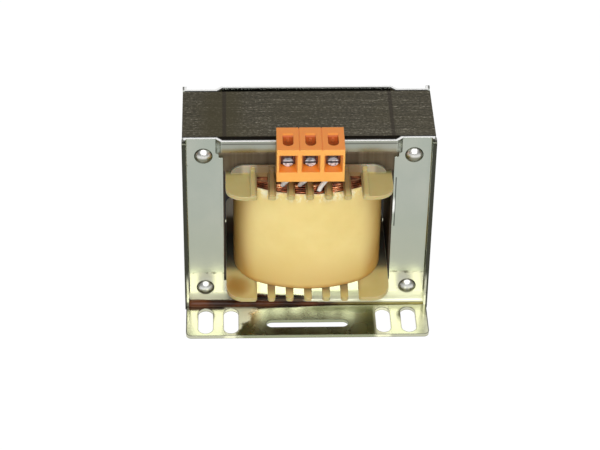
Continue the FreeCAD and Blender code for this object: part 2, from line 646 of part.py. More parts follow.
def clamp_screw(x):
    axis_z = BLOCK_BOTTOM + SCREW_AXIS
    front = -CAGE_FRONT_Y - SCREW_HEAD_LENGTH
    head = Part.makeCylinder(SCREW_HEAD_RADIUS, SCREW_HEAD_LENGTH, vec(x, front, axis_z), vec(0, 1, 0))
    shank = Part.makeCylinder(SCREW_SHANK_RADIUS, SCREW_SHANK_LENGTH, vec(x, -CAGE_FRONT_Y, axis_z),
                              vec(0, 1, 0))
    wide = 2 * SCREW_HEAD_RADIUS
    drive = box(x - wide, x + wide, front, front + SCREW_SLOT_DEPTH, axis_z - SCREW_SLOT_WIDTH / 2,
                axis_z + SCREW_SLOT_WIDTH / 2)
    return merge([head, shank]).cut(drive)


# Leads from the winding to the clamps

def route(points):
    """Straight runs joined by tangent arcs, as large as the two runs beside each allow."""
    places = [vec(*p) for p in points]
    edges = []
    start = places[0]
    for before, corner, after in zip(places, places[1:], places[2:]):
        inward = (corner - before).normalize()
        outward = (after - corner).normalize()
        turn = inward.getAngle(outward)
        setback = LEAD_ARC_SHARE * min((corner - before).Length, (after - corner).Length)
        radius = setback / math.tan(turn / 2)
        print("lead arc radius %.1f mm" % radius)
        first = corner - inward * setback
        last = corner + outward * setback
        inside = (outward - inward).normalize()
        middle = corner + inside * (radius / math.cos(turn / 2) - radius)
        edges.append(Part.LineSegment(start, first).toShape())
        edges.append(Part.Arc(first, middle, last).toShape())
        start = last
    edges.append(Part.LineSegment(start, places[-1]).toShape())
    return edges


def swept_tube(edges, radius):
    first = edges[0].Vertexes[0].Point
    heading = edges[0].Vertexes[1].Point - first
    ring = Part.Wire(Part.makeCircle(radius, first, heading))
    return Part.Wire(edges).makePipeShell([ring], True, True)


def lead(pole, comb_x, points, tail, coil):
    """Copper wire, its sleeve and the solder that joins it to the tail."""
    end_z = TAIL_END_Z + LEAD_END_LIFT
    starts = [comb_x] * (len(points) - 1) + [pole]
    edges = route([(start + x, y - TAIL_FRONT_Y, end_z + z) for start, (x, y, z) in zip(starts, points)])
    wire = swept_tube(edges, LEAD_WIRE_RADIUS).cut(coil).cut(tail)
    sleeve = swept_tube(edges, SLEEVE_RADIUS).cut(swept_tube(edges, SLEEVE_BORE_RADIUS))
    end = edges[-1].Vertexes[1].Point
    clear = Part.makeSphere(SOLDER_RADIUS + SLEEVE_END_GAP, end)
    lift = box(-BEYOND, BEYOND, -BEYOND, BEYOND, -BEYOND, coil.BoundBox.ZMax + SLEEVE_START_GAP)
    sleeve = sleeve.cut(clear).cut(lift)
    solder = Part.makeSphere(SOLDER_RADIUS, end).cut(tail).cut(wire)
    return wire, sleeve, solder


def varnish_bead(front_frame):
    """Tapered run of set varnish that fills the inner bend of the front frame."""
    thick, thin = BEAD_THICK_PLACE, BEAD_THIN_PLACE
    start = vec(-BEAD_HALF_LENGTH, -PLATE_FRONT - thick[0], BEND_START - thick[1])
    end = vec(BEAD_HALF_LENGTH, -PLATE_FRONT - thin[0], BEND_START - thin[1])
    run = end - start
    cone = Part.makeCone(BEAD_THICK_RADIUS, BEAD_THIN_RADIUS, run.Length, start, run)
    behind = box(-BEYOND, BEYOND, -PLATE_FRONT, BEYOND, -BEYOND, BEYOND)
    below = box(-BEYOND, BEYOND, -BEYOND, BEYOND, -BEYOND, SHEET)
    bead = cone.cut(behind).cut(below).cut(front_frame)
    return max(bead.Solids, key=lambda s: s.Volume)


def build():
    parts = {}
    for i in range(PACK_COUNT):
        y0 = -CORE_HALF_DEPTH + i * PACK_THICKNESS
        yoke_up = i % 2 == 0
        parts["core_e_pack_%d" % (i + 1)] = e_pack(y0, yoke_up)
        parts["core_i_pack_%d" % (i + 1)] = i_pack(y0, yoke_up)
    front_frame = frame()
    parts["frame_front"] = front_frame
    parts["frame_rear"] = mirror_y(front_frame)
    for i, (x, z) in enumerate((x, z) for z in RIVET_Z for x in (-RIVET_X, RIVET_X)):
        parts["rivet_%d" % (i + 1)] = rivet(x, z)
    parts["bobbin"] = bobbin()
    inner_ring = layer_outside(INNER_WINDING)
    film_ring = layer_outside(INNER_WINDING, INTERLAYER)
    outer_ring = layer_outside(INNER_WINDING, INTERLAYER, OUTER_WINDING)
    parts["winding_inner"] = winding(inner_ring, tube_block())
    parts["interlayer_insulation"] = winding(film_ring, full_ring(grown(inner_ring)))
    outer = winding(outer_ring, full_ring(grown(film_ring)))
    parts["winding_outer"] = outer
    parts["outer_wrap"] = outer_wrap()
    parts["terminal_housing"] = terminal_housing()
    for i, x in enumerate(POLE_PLACES):
        cage = clamp_cage(x)
        parts["clamp_cage_%d" % (i + 1)] = cage
        parts["clamp_screw_%d" % (i + 1)] = clamp_screw(x)
        wire, sleeve, solder = lead(x, COMB_PLACES[LEAD_SLOTS[i]], LEAD_ROUTES[i], cage, outer)
        parts["lead_wire_%d" % (i + 1)] = wire
        parts["lead_sleeve_%d" % (i + 1)] = sleeve
        parts["solder_joint_%d" % (i + 1)] = solder
    parts["varnish_bead"] = varnish_bead(front_frame)
    return parts


os.makedirs("parts", exist_ok=True)
for name, shape in build().items():
    print(name, "solids", len(shape.Solids), "valid", shape.isValid(), "volume %.1f" % shape.Volume)
    shape.exportStep("parts/%s.step" % name)
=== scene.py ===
import json
import math
import random
from types import SimpleNamespace

import bmesh
import bpy
from mathutils import Matrix, Vector


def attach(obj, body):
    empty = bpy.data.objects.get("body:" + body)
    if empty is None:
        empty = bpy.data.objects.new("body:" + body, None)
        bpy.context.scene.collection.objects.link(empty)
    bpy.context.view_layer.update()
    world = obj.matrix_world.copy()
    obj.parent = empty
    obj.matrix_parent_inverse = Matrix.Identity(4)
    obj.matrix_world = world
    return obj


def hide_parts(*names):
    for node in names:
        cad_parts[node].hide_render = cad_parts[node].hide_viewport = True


# Looks for the open-frame autotransformer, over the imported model. The scene is in metres,
# and the places on the part that are named here are in millimetres.

MM = 0.001

# Cosines of the turn between flat and rounded normal, from where an edge is full to where it starts
EDGE_COSINES = (0.80, 0.985)

# Camera, from the photograph: places in metres, lens and sensor in millimetres
CAMERA_PLACE = (-0.0301, -0.6753, 0.5484)
CAMERA_AIM = (-0.0029, -0.0150, 0.0386)
CAMERA_ROLL = math.radians(0.99)
CAMERA_LENS = 128.7
CAMERA_SENSOR = 36.0
CAMERA_NEAREST = 0.05

# Studio, in metres
FLOOR_HALF = 2.0
FLOOR_WHITE = 0.80
FLOOR_PAINTED_SHADOW = 0.06
BACKGROUND_SHARE = 0.90
REFLECTED_SHARE = 0.80
BACKGROUND_STRENGTH = 1.08
# Painted shadow on the floor behind the object: where it fades at the sides, in front and at the rear
SHADE_SIDE = (0.0370, 0.0470)
SHADE_FRONT = (0.0, 0.024)
SHADE_REAR = (0.070, 0.120)
ROOM_LOW = 0.08
ROOM_HIGH = 0.36
LAMP_AIM = (0, 0, 0.04)
FRONT_LAMP = (0.02, -0.80, 0.76)
FRONT_LAMP_SIZE = 0.86
FRONT_LAMP_RADIANCE = 4.1
REAR_LAMP = (0.16, 0.95, 0.80)
REAR_LAMP_SIZE = 0.6
REAR_LAMP_RADIANCE = 1.0

# Turns of the outer winding: half width, reach, corner and crown radius of the innermost and outermost one
CORE_MIDDLE = 41.0
INNER_TURN = (23.0, 22.3, 6.9, 66.0)
OUTER_TURN = (27.8, 28.6, 16.2, 44.7)
TURN_COUNT = 7
TURN_ROWS = 3
TURN_DROP = 0.7
ARC_STEPS = 6
WIRE_RADIUS = 0.36
ROW_PITCH = 1.8
FLANGE_LEVEL = 22.1
FLANGE_BEND = 15.2
FLANGE_RISE = 0.0863

# Varnish run in the front bend: its line from left to right, and its radius by the share of its length
BEAD_HALF_LENGTH = 46.9
BEAD_LEFT = (-18.45, 2.15)
BEAD_RIGHT = (-18.70, 1.72)
BEAD_RADII = ((0.0, 1.55), (0.03, 1.70), (0.08, 1.58), (0.26, 1.50), (0.295, 1.62), (0.34, 1.20),
              (0.42, 0.92), (0.52, 0.60), (0.62, 0.42), (0.76, 0.30), (0.93, 0.33), (0.97, 0.45),
              (1.0, 0.30))
BEAD_LUMPS = ((0.5, 17, 0.4), (0.3, 43, 1), (0.2, 97, 2))
BEAD_UNEVEN_RADIUS = 0.06
BEAD_UNEVEN_BACK = 0.05
BEAD_UNEVEN_LEVEL = 0.04
BEAD_STEPS = 160
BEAD_THIN_FROM = (4.0, 20.0)

# Places on the frames where the finish changes. A pair is where the change starts and where it is full,
# or the two ends of a stretch that fades out over the length named after it.
WARM_FADE = (20.0, 60.0)
COAT_TOP = (16.3, 16.8)
COAT_LINE = (15.4, 16.2)
COAT_RAGGED = 3.5
RIBS_SIDE = (23.5, 25.5)
RIBS_LOW = (3.2, 4.2)
AMBER_SIDE = (17.0, 21.5)
BEND_START = (1.55, 1.8)
SOAKED_RUN = (-27.0, -2.0)
SOAKED_FADE = 6.0
SOAKED_RISE = 0.8
SOAKED_TOP = (2.0, 3.0)
PALE_TOP = (5.8, 7.4)
FOOT_START = (19.0, 21.5)
FOOT_TOP = (1.6, 3.0)
MIRROR_SIDE = (26.0, 32.0)
BLUR_SIDE = (22.0, 30.0)
MATTE_LEFT = (13.5, 16.5)
MATTE_LEAN = 0.44
MATTE_RAGGED = 8.0
MATTE_RIGHT = (25.5, 28.0)
MATTE_END = (31.5, 33.5)
RIM_WIDTH = 1.0
RIM_START = (20.5, 21.0)
RIM_TOP = (1.6, 2.0)
CORNER_SIDE = (45.5, 46.8)
CORNER_RUN = (17.0, 19.6)
CORNER_FADE = 0.8
CORNER_TOP = (3.0, 4.5)
BAR_FACE = (18.0, 18.4)
BAR_SIDE = (32.5, 34.0)
BAR_BOTTOM = (60.0, 62.0)
BAR_STAIN_TOP = (76.8, 79.0)
BAR_STAIN_RAGGED = 1.2
BAR_STAIN_LEFT = (-10.0, 20.0)
BAR_LINE = (79.7, 80.0)
BAR_LINE_FADE = 0.3
STRIP_RUN = (39.2, 62.3)
STRIP_FADE = 0.3
STRIP_CUT = (33.45, 33.65)
STRIP_CUT_FADE = 0.2
STRIP_SHINE = (48.0, 51.2)
STRIP_SHINE_FADE = 3.0
STRIP_INNER = (33.3, 33.5)
UPPER_EDGE = (78.0, 78.5)
LIP_FACE = (17.2, 17.4)
LIP_SIDE = (46.2, 46.5)
LIP_OUTSIDE = (47.3, 47.5)
LIP_DARK_FROM = (13.0, 19.0)
SHEET_OUTSIDE = (15.6, 15.8)
STEP_RUN = (32.7, 34.8)
STEP_DEPTH = 2.0
LIP_END_DEPTH = (16.0, 16.2)
RIVET_RIM = (16.65, 17.35)

# Places on the core
SHEET_THICKNESS = 0.5
SHEET_SHIFT = 100.0
CORE_PATCH = (30.0, 36.0)
CORE_PATCH_FADE = 8.0
YOKE_SHADOW = (66.0, 72.2)
YOKE_SHADOW_FADE = 1.4
BEHIND_BAR = (76.5, 78.5)
LIMB_SIDE = (30.0, 31.0)
LIMB_TOP = (64.0, 66.5)
WINDOW_SIDE = (31.5, 32.5)
WINDOW_SIDE_FADE = 0.5

# Places on the bobbin and on the tape. A level is counted from the core's middle, and a height from
# the mounting surface.
UPSTAND_LEVEL = (24.1, 24.6)
UPSTAND_FACE = (17.0, 17.25)
COMB_SIDE = (19.0, 21.5)
COMB_FRONT = (28.0, 33.0)
RIB_EDGE = 0.6
EAR_EDGE = 0.4
LOWER_FLANGE_HEIGHT = (20.0, 30.0)
DIM_DEPTH = (8.0, 22.0)
FLANGE_SIDE = (24.5, 26.2)
FLANGE_SIDE_DEPTH = (15.0, 19.0)
REAR_EAR_SIDE = (26.2, 27.5)
REAR_EAR_DEPTH = (4.0, 8.0)
EAR_STAIN_PLACE = (-27.8, -26.6)
EAR_STAIN_SQUARES = (14.0, 66.0)
TAPE_SIDE = (19.5, 29.2)
TAPE_LOW_HEIGHT = (18.0, 40.0)
TAPE_LEFT = (22.5, 29.0)
TAPE_FOLD_LEVEL = (22.2, 23.2)
TAPE_UPPER_LEVEL = (18.5, 21.5)
TAPE_LOWEST_LEVEL = (20.3, 22.0)

# Places on the terminal block and its screws
POLE_PITCH = 8.4
POLE_SHIFT = 10.5
SCREW_HEIGHT = 80.0
SCREW_SLOT = (0.36, 0.46)
SCREW_UPPER = (0.5, 1.0)
ENTRY_HALF = (2.12, 2.25)
ENTRY_DEPTH = (24.0, 31.4)
ENTRY_DEPTH_FADE = 0.1
ENTRY_HEIGHT = (83.1, 87.5)
ENTRY_HEIGHT_FADE = 0.4
BLOCK_EDGE = 0.18

# Colours of the frames
ZINC_DARK = (0.405, 0.445, 0.385)
ZINC_LIGHT = (0.46, 0.485, 0.42)
ZINC_PIT = (0.10, 0.10, 0.08)
ZINC_WARM = (0.46, 0.475, 0.35)
COAT_YELLOW = (0.53, 0.53, 0.435)
COAT_PAINTED_REFLECTION = (1.0, 0.99, 0.90)
COAT_AMBER = (0.95, 0.52, 0.20)
COAT_SPOT = (0.15, 0.15, 0.10)
BEND_BROWN = (0.060, 0.028, 0.012)
BEND_PAINTED_REFLECTION = (0.98, 1.0, 0.72)
FOOT_COAT = (0.56, 0.56, 0.42)
FOOT_MIRROR = (0.35, 0.375, 0.235)
FOOT_PAINTED_REFLECTION = (1.0, 1.0, 0.70)
FOOT_RIM = (0.10, 0.10, 0.07)
CORNER_BROWN = (0.035, 0.018, 0.010)
BAR_GREY = (0.22, 0.20, 0.15)
BAR_GOLD = (0.25, 0.18, 0.06)
BAR_LINE_GREY = (0.10, 0.10, 0.09)
STRIP_CUT_PAINTED_SHADE = (0.02, 0.02, 0.015)
STRIP_PAINTED_HIGHLIGHT = (0.98, 0.98, 0.94)
STRIP_SIDE_PAINTED_SHADE = (0.03, 0.03, 0.02)
EDGE_PAINTED_DARK_REFLECTION = (0.03, 0.03, 0.028)
EDGE_PAINTED_HIGHLIGHT = (0.98, 0.98, 0.96)
LIP_CUT_AND_PAINTED_SHADE = (0.055, 0.057, 0.042)
LIP_END_GREY = (0.16, 0.16, 0.14)
RIVET_PAINTED_UNDER_SHADE = (0.24, 0.24, 0.18)
RIVET_PAINTED_TOP_LIGHT = (0.80, 0.80, 0.76)
RIVET_RIM_PAINTED_SHADE = (0.11, 0.11, 0.08)

# Colours of the core
OXIDE_TONES = ((0.54, (0.030, 0.026, 0.014)), (0.68, (0.068, 0.058, 0.034)),
               (0.79, (0.110, 0.096, 0.062)), (0.93, (0.36, 0.33, 0.25)))
OXIDE_STAIN = (0.080, 0.066, 0.028)
OXIDE_PATCH = (0.060, 0.048, 0.014)
WINDOW_PAINTED_SHADE = (0.030, 0.020, 0.010)
FLAT_TONES = ((0.35, (0.19, 0.14, 0.085)), (0.65, (0.33, 0.26, 0.17)))
YOKE_SHADOW_BROWN = (0.040, 0.028, 0.014)
BEHIND_BAR_PAINTED_SHADE = (0.006, 0.005, 0.004)
LIMB_PAINTED_SHADE = (0.045, 0.033, 0.022)

# Colours of the bobbin, the tape and the windings
HONEY_TONES = ((0.3, (0.64, 0.51, 0.18)), (0.7, (0.74, 0.62, 0.27)))
UPSTAND_GREY = (0.66, 0.60, 0.46)
RIB_BROWN = (0.37, 0.245, 0.11)
RIB_EDGE_BROWN = (0.16, 0.085, 0.025)
DIM_PAINTED_SHADE = (0.02, 0.022, 0.024)
FLANGE_SIDE_PAINTED_SHADE = (0.05, 0.045, 0.035)
REAR_EAR_BROWN = (0.09, 0.06, 0.035)
EAR_AMBER = (0.42, 0.20, 0.03)
EAR_EDGE_PAINTED_HIGHLIGHT = (0.92, 0.84, 0.56)
CREAM_TONES = ((0.3, (0.84, 0.63, 0.21)), (0.7, (0.93, 0.74, 0.29)))
TAPE_SOAKED = (0.60, 0.34, 0.075)
TAPE_LEFT_BROWN = (0.30, 0.175, 0.045)
TAPE_BITS_AND_HIGHLIGHT = (1.0, 0.94, 0.66)
TAPE_LOWEST_BROWN = (0.55, 0.28, 0.06)
TORN_TONES = ((0.42, (0.52, 0.30, 0.09)), (0.58, (0.95, 0.86, 0.58)))
COPPER_TONES = ((0.40, (0.14, 0.035, 0.014)), (0.53, (0.50, 0.16, 0.06)), (0.66, (1.0, 0.58, 0.30)))
FILM_TONES = ((0.3, (0.20, 0.09, 0.045)), (0.7, (0.34, 0.17, 0.08)))
VARNISH_TONES = ((0.35, (0.030, 0.007, 0.001)), (0.65, (0.16, 0.044, 0.011)))
VARNISH_GOLD_TONES = ((0.42, (0.11, 0.08, 0.02)), (0.62, (0.42, 0.36, 0.10)))

# Colours of the terminal block, its metal and the leads
ORANGE_TONES = ((0.3, (0.97, 0.42, 0.072)), (0.7, (1.0, 0.47, 0.092)))
ORANGE_TOP_PAINTED_SHADE = (0.88, 0.275, 0.032)
ORANGE_ENTRY_PAINTED_SHADE = (0.60, 0.11, 0.022)
ORANGE_EDGE_PAINTED_HIGHLIGHT = (1.0, 0.62, 0.25)
CLAMP_GREY = (0.16, 0.12, 0.13)
SCREW_TONES = ((0.40, (0.15, 0.17, 0.20)), (0.52, (0.80, 0.91, 1.0)))
SCREW_UPPER_PAINTED_SHADE = (0.17, 0.18, 0.20)
SCREW_SLOT_PAINTED_SHADE = (0.05, 0.04, 0.05)
SLEEVE_TONES = ((0.3, (0.97, 0.95, 0.91)), (0.7, (1.0, 0.98, 0.95)))
SOLDER_GREY = (0.70, 0.70, 0.69)


# Shader helpers

def new_material(name):
    material = bpy.data.materials.new(name)
    material.use_nodes = True
    tree = material.node_tree
    tree.nodes.clear()
    output = tree.nodes.new("ShaderNodeOutputMaterial")
    shader = tree.nodes.new("ShaderNodeBsdfPrincipled")
    tree.links.new(shader.outputs[0], output.inputs["Surface"])
    return material, tree, shader


def set_shader(shader, **values):
    """Set the shader's inputs by name, with an underscore for each space."""
    for name, value in values.items():
        socket = shader.inputs[name.replace("_", " ")]
        is_colour = isinstance(value, tuple) and len(value) == 3
        socket.default_value = (*value, 1.0) if is_colour else value


def link(tree, output, shader, name):
    tree.links.new(output, shader.inputs[name])


def place_on(tree, scale=(1, 1, 1)):
    """Object coordinates through a Mapping node, so a pattern can be stretched."""
    where = tree.nodes.new("ShaderNodeTexCoord")
    mapping = tree.nodes.new("ShaderNodeMapping")
    mapping.inputs["Scale"].default_value = scale
    tree.links.new(where.outputs["Object"], mapping.inputs["Vector"])
    return mapping.outputs[0]


def noise(tree, vector, scale, detail=3.0, roughness=0.5):
    node = tree.nodes.new("ShaderNodeTexNoise")
    node.inputs["Scale"].default_value = scale
    node.inputs["Detail"].default_value = detail
    node.inputs["Roughness"].default_value = roughness
    tree.links.new(vector, node.inputs["Vector"])
    return node.outputs["Fac"]


def ramp(tree, value, stops):
    node = tree.nodes.new("ShaderNodeValToRGB")
    elements = node.color_ramp.elements
    while len(elements) < len(stops):
        elements.new(0.5)
    for element, (place, colour) in zip(elements, stops):
        element.position = place
        element.color = (*colour, 1.0)
    tree.links.new(value, node.inputs["Fac"])
    return node.outputs["Color"]


def grey_ramp(tree, value, low, high, start=0.0, end=1.0):
    return ramp(tree, value, [(start, (low,) * 3), (end, (high,) * 3)])


def math_node(tree, operation, first, second, third=None):
    node = tree.nodes.new("ShaderNodeMath")
    node.operation = operation
    for socket, value in zip(node.inputs, (first, second, third)):
        if isinstance(value, bpy.types.NodeSocket):
            tree.links.new(value, socket)
        elif value is not None:
            socket.default_value = value
    return node.outputs[0]


def product(tree, *shares):
    total = shares[0]
    for share in shares[1:]:
        total = math_node(tree, "MULTIPLY", total, share)
    return total


def opposite(tree, share):
    """What is left of 1 when the share is taken from it."""
    return math_node(tree, "SUBTRACT", 1.0, share)


def size_of(tree, value):
    """The value without its sign."""
    return math_node(tree, "ABSOLUTE", value, 0.0)


def larger(tree, first, second):
    return math_node(tree, "MAXIMUM", first, second)


def scaled(tree, value, factor, shift):
    """The value times the factor, plus the shift, each of them a number or another value."""
    return math_node(tree, "MULTIPLY_ADD", value, factor, shift)


def step(tree, value, start, end):
    """Smooth change from 0 to 1 as the value goes from start to end."""
    node = tree.nodes.new("ShaderNodeMapRange")
    node.interpolation_type = "SMOOTHSTEP"
    tree.links.new(value, node.inputs["Value"])
    node.inputs["From Min"].default_value = start
    node.inputs["From Max"].default_value = end
    return node.outputs[0]


def rising(tree, place, span):
    """Smooth change from 0 to 1 as a place on the part goes through a span in millimetres."""
    start, end = span
    return step(tree, place, start * MM, end * MM)


def falling(tree, place, span):
    """Smooth change from 1 to 0 as a place on the part goes through a span in millimetres."""
    return opposite(tree, rising(tree, place, span))


def between(tree, place, span, fade):
    """1 inside a span in millimetres, fading out over a length at both of its ends."""
    low, high = span
    return product(tree, rising(tree, place, (low - fade, low)), falling(tree, place, (high, high + fade)))


def sloping(tree, place, span, height):
    """A height in millimetres that goes evenly down to nothing through a span."""
    node = tree.nodes.new("ShaderNodeMapRange")
    tree.links.new(place, node.inputs["Value"])
    node.inputs["From Min"].default_value = span[0] * MM
    node.inputs["From Max"].default_value = span[1] * MM
    node.inputs["To Min"].default_value = height * MM
    node.inputs["To Max"].default_value = 0.0
    return node.outputs[0]


def mix_colour(tree, share, first, second):
    node = tree.nodes.new("ShaderNodeMix")
    node.data_type = "RGBA"
    for socket, value in ((0, share), (6, first), (7, second)):
        if isinstance(value, bpy.types.NodeSocket):
            tree.links.new(value, node.inputs[socket])
        elif socket == 0:
            node.inputs[socket].default_value = value
        else:
            node.inputs[socket].default_value = (*value, 1.0)
    return node.outputs[2]


def tinted(tree, colour, tint, *shares):
    """The colour, with the tint over it where all of the shares are high."""
    return mix_colour(tree, product(tree, *shares), colour, tint)


def axis_value(tree, axis, factor=1.0, shift=0.0):
    """One object coordinate in metres, times a factor, plus a shift."""
    where = tree.nodes.new("ShaderNodeTexCoord")
    split = tree.nodes.new("ShaderNodeSeparateXYZ")
    tree.links.new(where.outputs["Object"], split.inputs[0])
    return scaled(tree, split.outputs["XYZ".index(axis)], factor, shift)


def places_on(tree):
    """Where a point is on the part: its coordinates, and how far it is from the middle planes."""
    right = axis_value(tree, "X")
    rear = axis_value(tree, "Y")
    front = axis_value(tree, "Y", -1.0)
    level = axis_value(tree, "Z", 1.0, -CORE_MIDDLE * MM)
    return SimpleNamespace(
        right=right, left=axis_value(tree, "X", -1.0), reach=size_of(tree, right),
        rear=rear, front=front, depth=size_of(tree, rear), in_front=step(tree, front, 0.0, MM),
        height=axis_value(tree, "Z"), level=level, from_level=size_of(tree, level))


def facing(tree, axis, start, end, both_ways=False):
    """Share of 1 where the surface looks along an axis, from start to end of the normal's part."""
    normal = tree.nodes.new("ShaderNodeNewGeometry")
    split = tree.nodes.new("ShaderNodeSeparateXYZ")
    tree.links.new(normal.outputs["True Normal"], split.inputs[0])
    value = split.outputs["XYZ".index(axis)]
    if both_ways:
        value = size_of(tree, value)
    return step(tree, value, start, end)


def edge_share(tree, width):
    """1 along sharp edges, over a width in millimetres, where the rounded normal leaves the flat one."""
    bevel = tree.nodes.new("ShaderNodeBevel")
    bevel.samples = 8
    bevel.inputs["Radius"].default_value = width * MM
    flat = tree.nodes.new("ShaderNodeNewGeometry")
    dot = tree.nodes.new("ShaderNodeVectorMath")
    dot.operation = "DOT_PRODUCT"
    tree.links.new(bevel.outputs[0], dot.inputs[0])
    tree.links.new(flat.outputs["Normal"], dot.inputs[1])
    return opposite(tree, step(tree, dot.outputs["Value"], *EDGE_COSINES))


def height_bump(tree, shader, height, strength, distance, rounding=0.0):
    """Uneven surface from a height, with its edges rounded off over a length in millimetres."""
    bump = tree.nodes.new("ShaderNodeBump")
    bump.inputs["Strength"].default_value = strength
    bump.inputs["Distance"].default_value = distance
    tree.links.new(height, bump.inputs["Height"])
    if rounding:
        bevel = tree.nodes.new("ShaderNodeBevel")
        bevel.samples = 4
        bevel.inputs["Radius"].default_value = rounding * MM
        tree.links.new(bevel.outputs[0], bump.inputs["Normal"])
    tree.links.new(bump.outputs[0], shader.inputs["Normal"])


# Finish of the frames

def zinc_ground(tree, at, clouds, fine):
    """Grey clouds and dark pits, a little warmer low down."""
    colour = ramp(tree, clouds, [(0.35, ZINC_DARK), (0.65, ZINC_LIGHT)])
    pits = grey_ramp(tree, fine, 0.0, 1.0, 0.72, 0.76)
    colour = tinted(tree, colour, ZINC_PIT, pits, 0.6)
    return tinted(tree, colour, ZINC_WARM, falling(tree, at.height, WARM_FADE), 0.5)


def coat_on(tree, at, colour, where, fine):
    """Clear yellow coat low down with a ragged upper line, near white behind the ribs as a painted
    reflection, amber at the first opening.
    """
    lowered = math_node(tree, "SUBTRACT", at.height, COAT_RAGGED / 2 * MM)
    ragged = scaled(tree, noise(tree, where, 260.0, 5.0, 0.75), COAT_RAGGED * MM, lowered)
    coated = falling(tree, ragged, COAT_TOP)
    line = product(tree, coated, rising(tree, ragged, COAT_LINE))
    behind_ribs = product(tree, falling(tree, at.reach, RIBS_SIDE), rising(tree, at.height, RIBS_LOW))
    first_opening = product(tree, coated, behind_ribs, rising(tree, at.left, AMBER_SIDE), at.in_front)
    spots = grey_ramp(tree, fine, 0.0, 1.0, 0.45, 0.6)
    colour = tinted(tree, colour, COAT_YELLOW, coated)
    # Painted reflection: the coat near white behind the ribs
    colour = tinted(tree, colour, COAT_PAINTED_REFLECTION, coated, behind_ribs)
    colour = tinted(tree, colour, COAT_AMBER, first_opening, 0.8)
    return tinted(tree, colour, COAT_SPOT, line, spots, 0.85)


def bend_on(tree, at, colour):
    """The front bend, brown where varnish soaked it, and beside that a pale matte colour that is a painted
    reflection.
    """
    soaked = between(tree, at.right, SOAKED_RUN, SOAKED_FADE)
    lowered = scaled(tree, soaked, -SOAKED_RISE * MM, at.height)
    above_foot = rising(tree, at.height, BEND_START)
    brown = product(tree, above_foot, falling(tree, lowered, SOAKED_TOP), at.in_front, soaked, 0.92)
    pale = product(tree, above_foot, falling(tree, at.height, PALE_TOP), opposite(tree, soaked),
                   at.in_front)
    colour = tinted(tree, colour, BEND_BROWN, brown)
    # Painted reflection: pale matte colour beside the soaked stretch
    return tinted(tree, colour, BEND_PAINTED_REFLECTION, pale), brown, pale


def foot_on(tree, at, colour, where):
    """The foot: a dull mirror in the middle, matte near white stretches beside it in front that are a
    painted reflection, and dark rims of slots.
    """
    foot = product(tree, rising(tree, at.depth, FOOT_START), falling(tree, at.height, FOOT_TOP))
    leaning = scaled(tree, at.depth, -MATTE_LEAN, at.left)
    leaning = scaled(tree, noise(tree, where, 300.0, 3.0), MATTE_RAGGED * MM, leaning)
    matte = larger(tree, rising(tree, leaning, MATTE_LEFT), rising(tree, at.right, MATTE_RIGHT))
    matte = product(tree, matte, foot, falling(tree, at.reach, MATTE_END), at.in_front)
    rims = product(tree, edge_share(tree, RIM_WIDTH), rising(tree, at.depth, RIM_START),
                   falling(tree, at.height, RIM_TOP))
    colour = tinted(tree, colour, FOOT_COAT, foot)
    colour = tinted(tree, colour, FOOT_MIRROR, foot, falling(tree, at.reach, MIRROR_SIDE))
    # Painted reflection: matte near white stretches beside the mirror
    colour = tinted(tree, colour, FOOT_PAINTED_REFLECTION, matte)
    colour = tinted(tree, colour, FOOT_RIM, rims, 0.8)
    return colour, matte, product(tree, foot, falling(tree, at.reach, BLUR_SIDE))


def corner_on(tree, at, colour):
    """Dark brown at the left end of the front bend."""
    run = between(tree, at.front, CORNER_RUN, CORNER_FADE)
    corner = product(tree, rising(tree, at.left, CORNER_SIDE), run, falling(tree, at.height, CORNER_TOP))
    return tinted(tree, colour, CORNER_BROWN, corner, 0.9)


def bar_on(tree, at, colour, clouds):
    """Golden stain along the lower part of the stepped bar, and the dark line under its upper edge."""
    bar = product(tree, rising(tree, at.depth, BAR_FACE), falling(tree, at.reach, BAR_SIDE),
                  rising(tree, at.height, BAR_BOTTOM))
    lower = falling(tree, scaled(tree, clouds, BAR_STAIN_RAGGED * MM, at.height), BAR_STAIN_TOP)
    left = scaled(tree, rising(tree, at.left, BAR_STAIN_LEFT), 0.35, 0.5)
    colour = tinted(tree, colour, BAR_GREY, bar, 0.35)
    colour = tinted(tree, colour, BAR_GOLD, bar, lower, left)
    line = between(tree, at.height, BAR_LINE, BAR_LINE_FADE)
    return tinted(tree, colour, BAR_LINE_GREY, bar, line, 0.7)


def strip_on(tree, at, colour):
    """The half sheared strip in the right column's inner edge: painted shade in its cut and on its side, and
    a painted highlight in its middle.
    """
    strip = product(tree, between(tree, at.height, STRIP_RUN, STRIP_FADE), step(tree, at.right, 0.0, MM))
    cut = between(tree, at.reach, STRIP_CUT, STRIP_CUT_FADE)
    shine = product(tree, between(tree, at.height, STRIP_SHINE, STRIP_SHINE_FADE), strip)
    inner = falling(tree, at.reach, STRIP_INNER)
    # Painted shade in the strip's cut
    colour = tinted(tree, colour, STRIP_CUT_PAINTED_SHADE, strip, cut, 0.9)
    # Painted highlight in the strip's middle
    colour = tinted(tree, colour, STRIP_PAINTED_HIGHLIGHT, shine, inner)
    side = facing(tree, "X", 0.5, 0.8, both_ways=True)
    # Painted shade on the strip's side
    return tinted(tree, colour, STRIP_SIDE_PAINTED_SHADE, strip, side, inner)


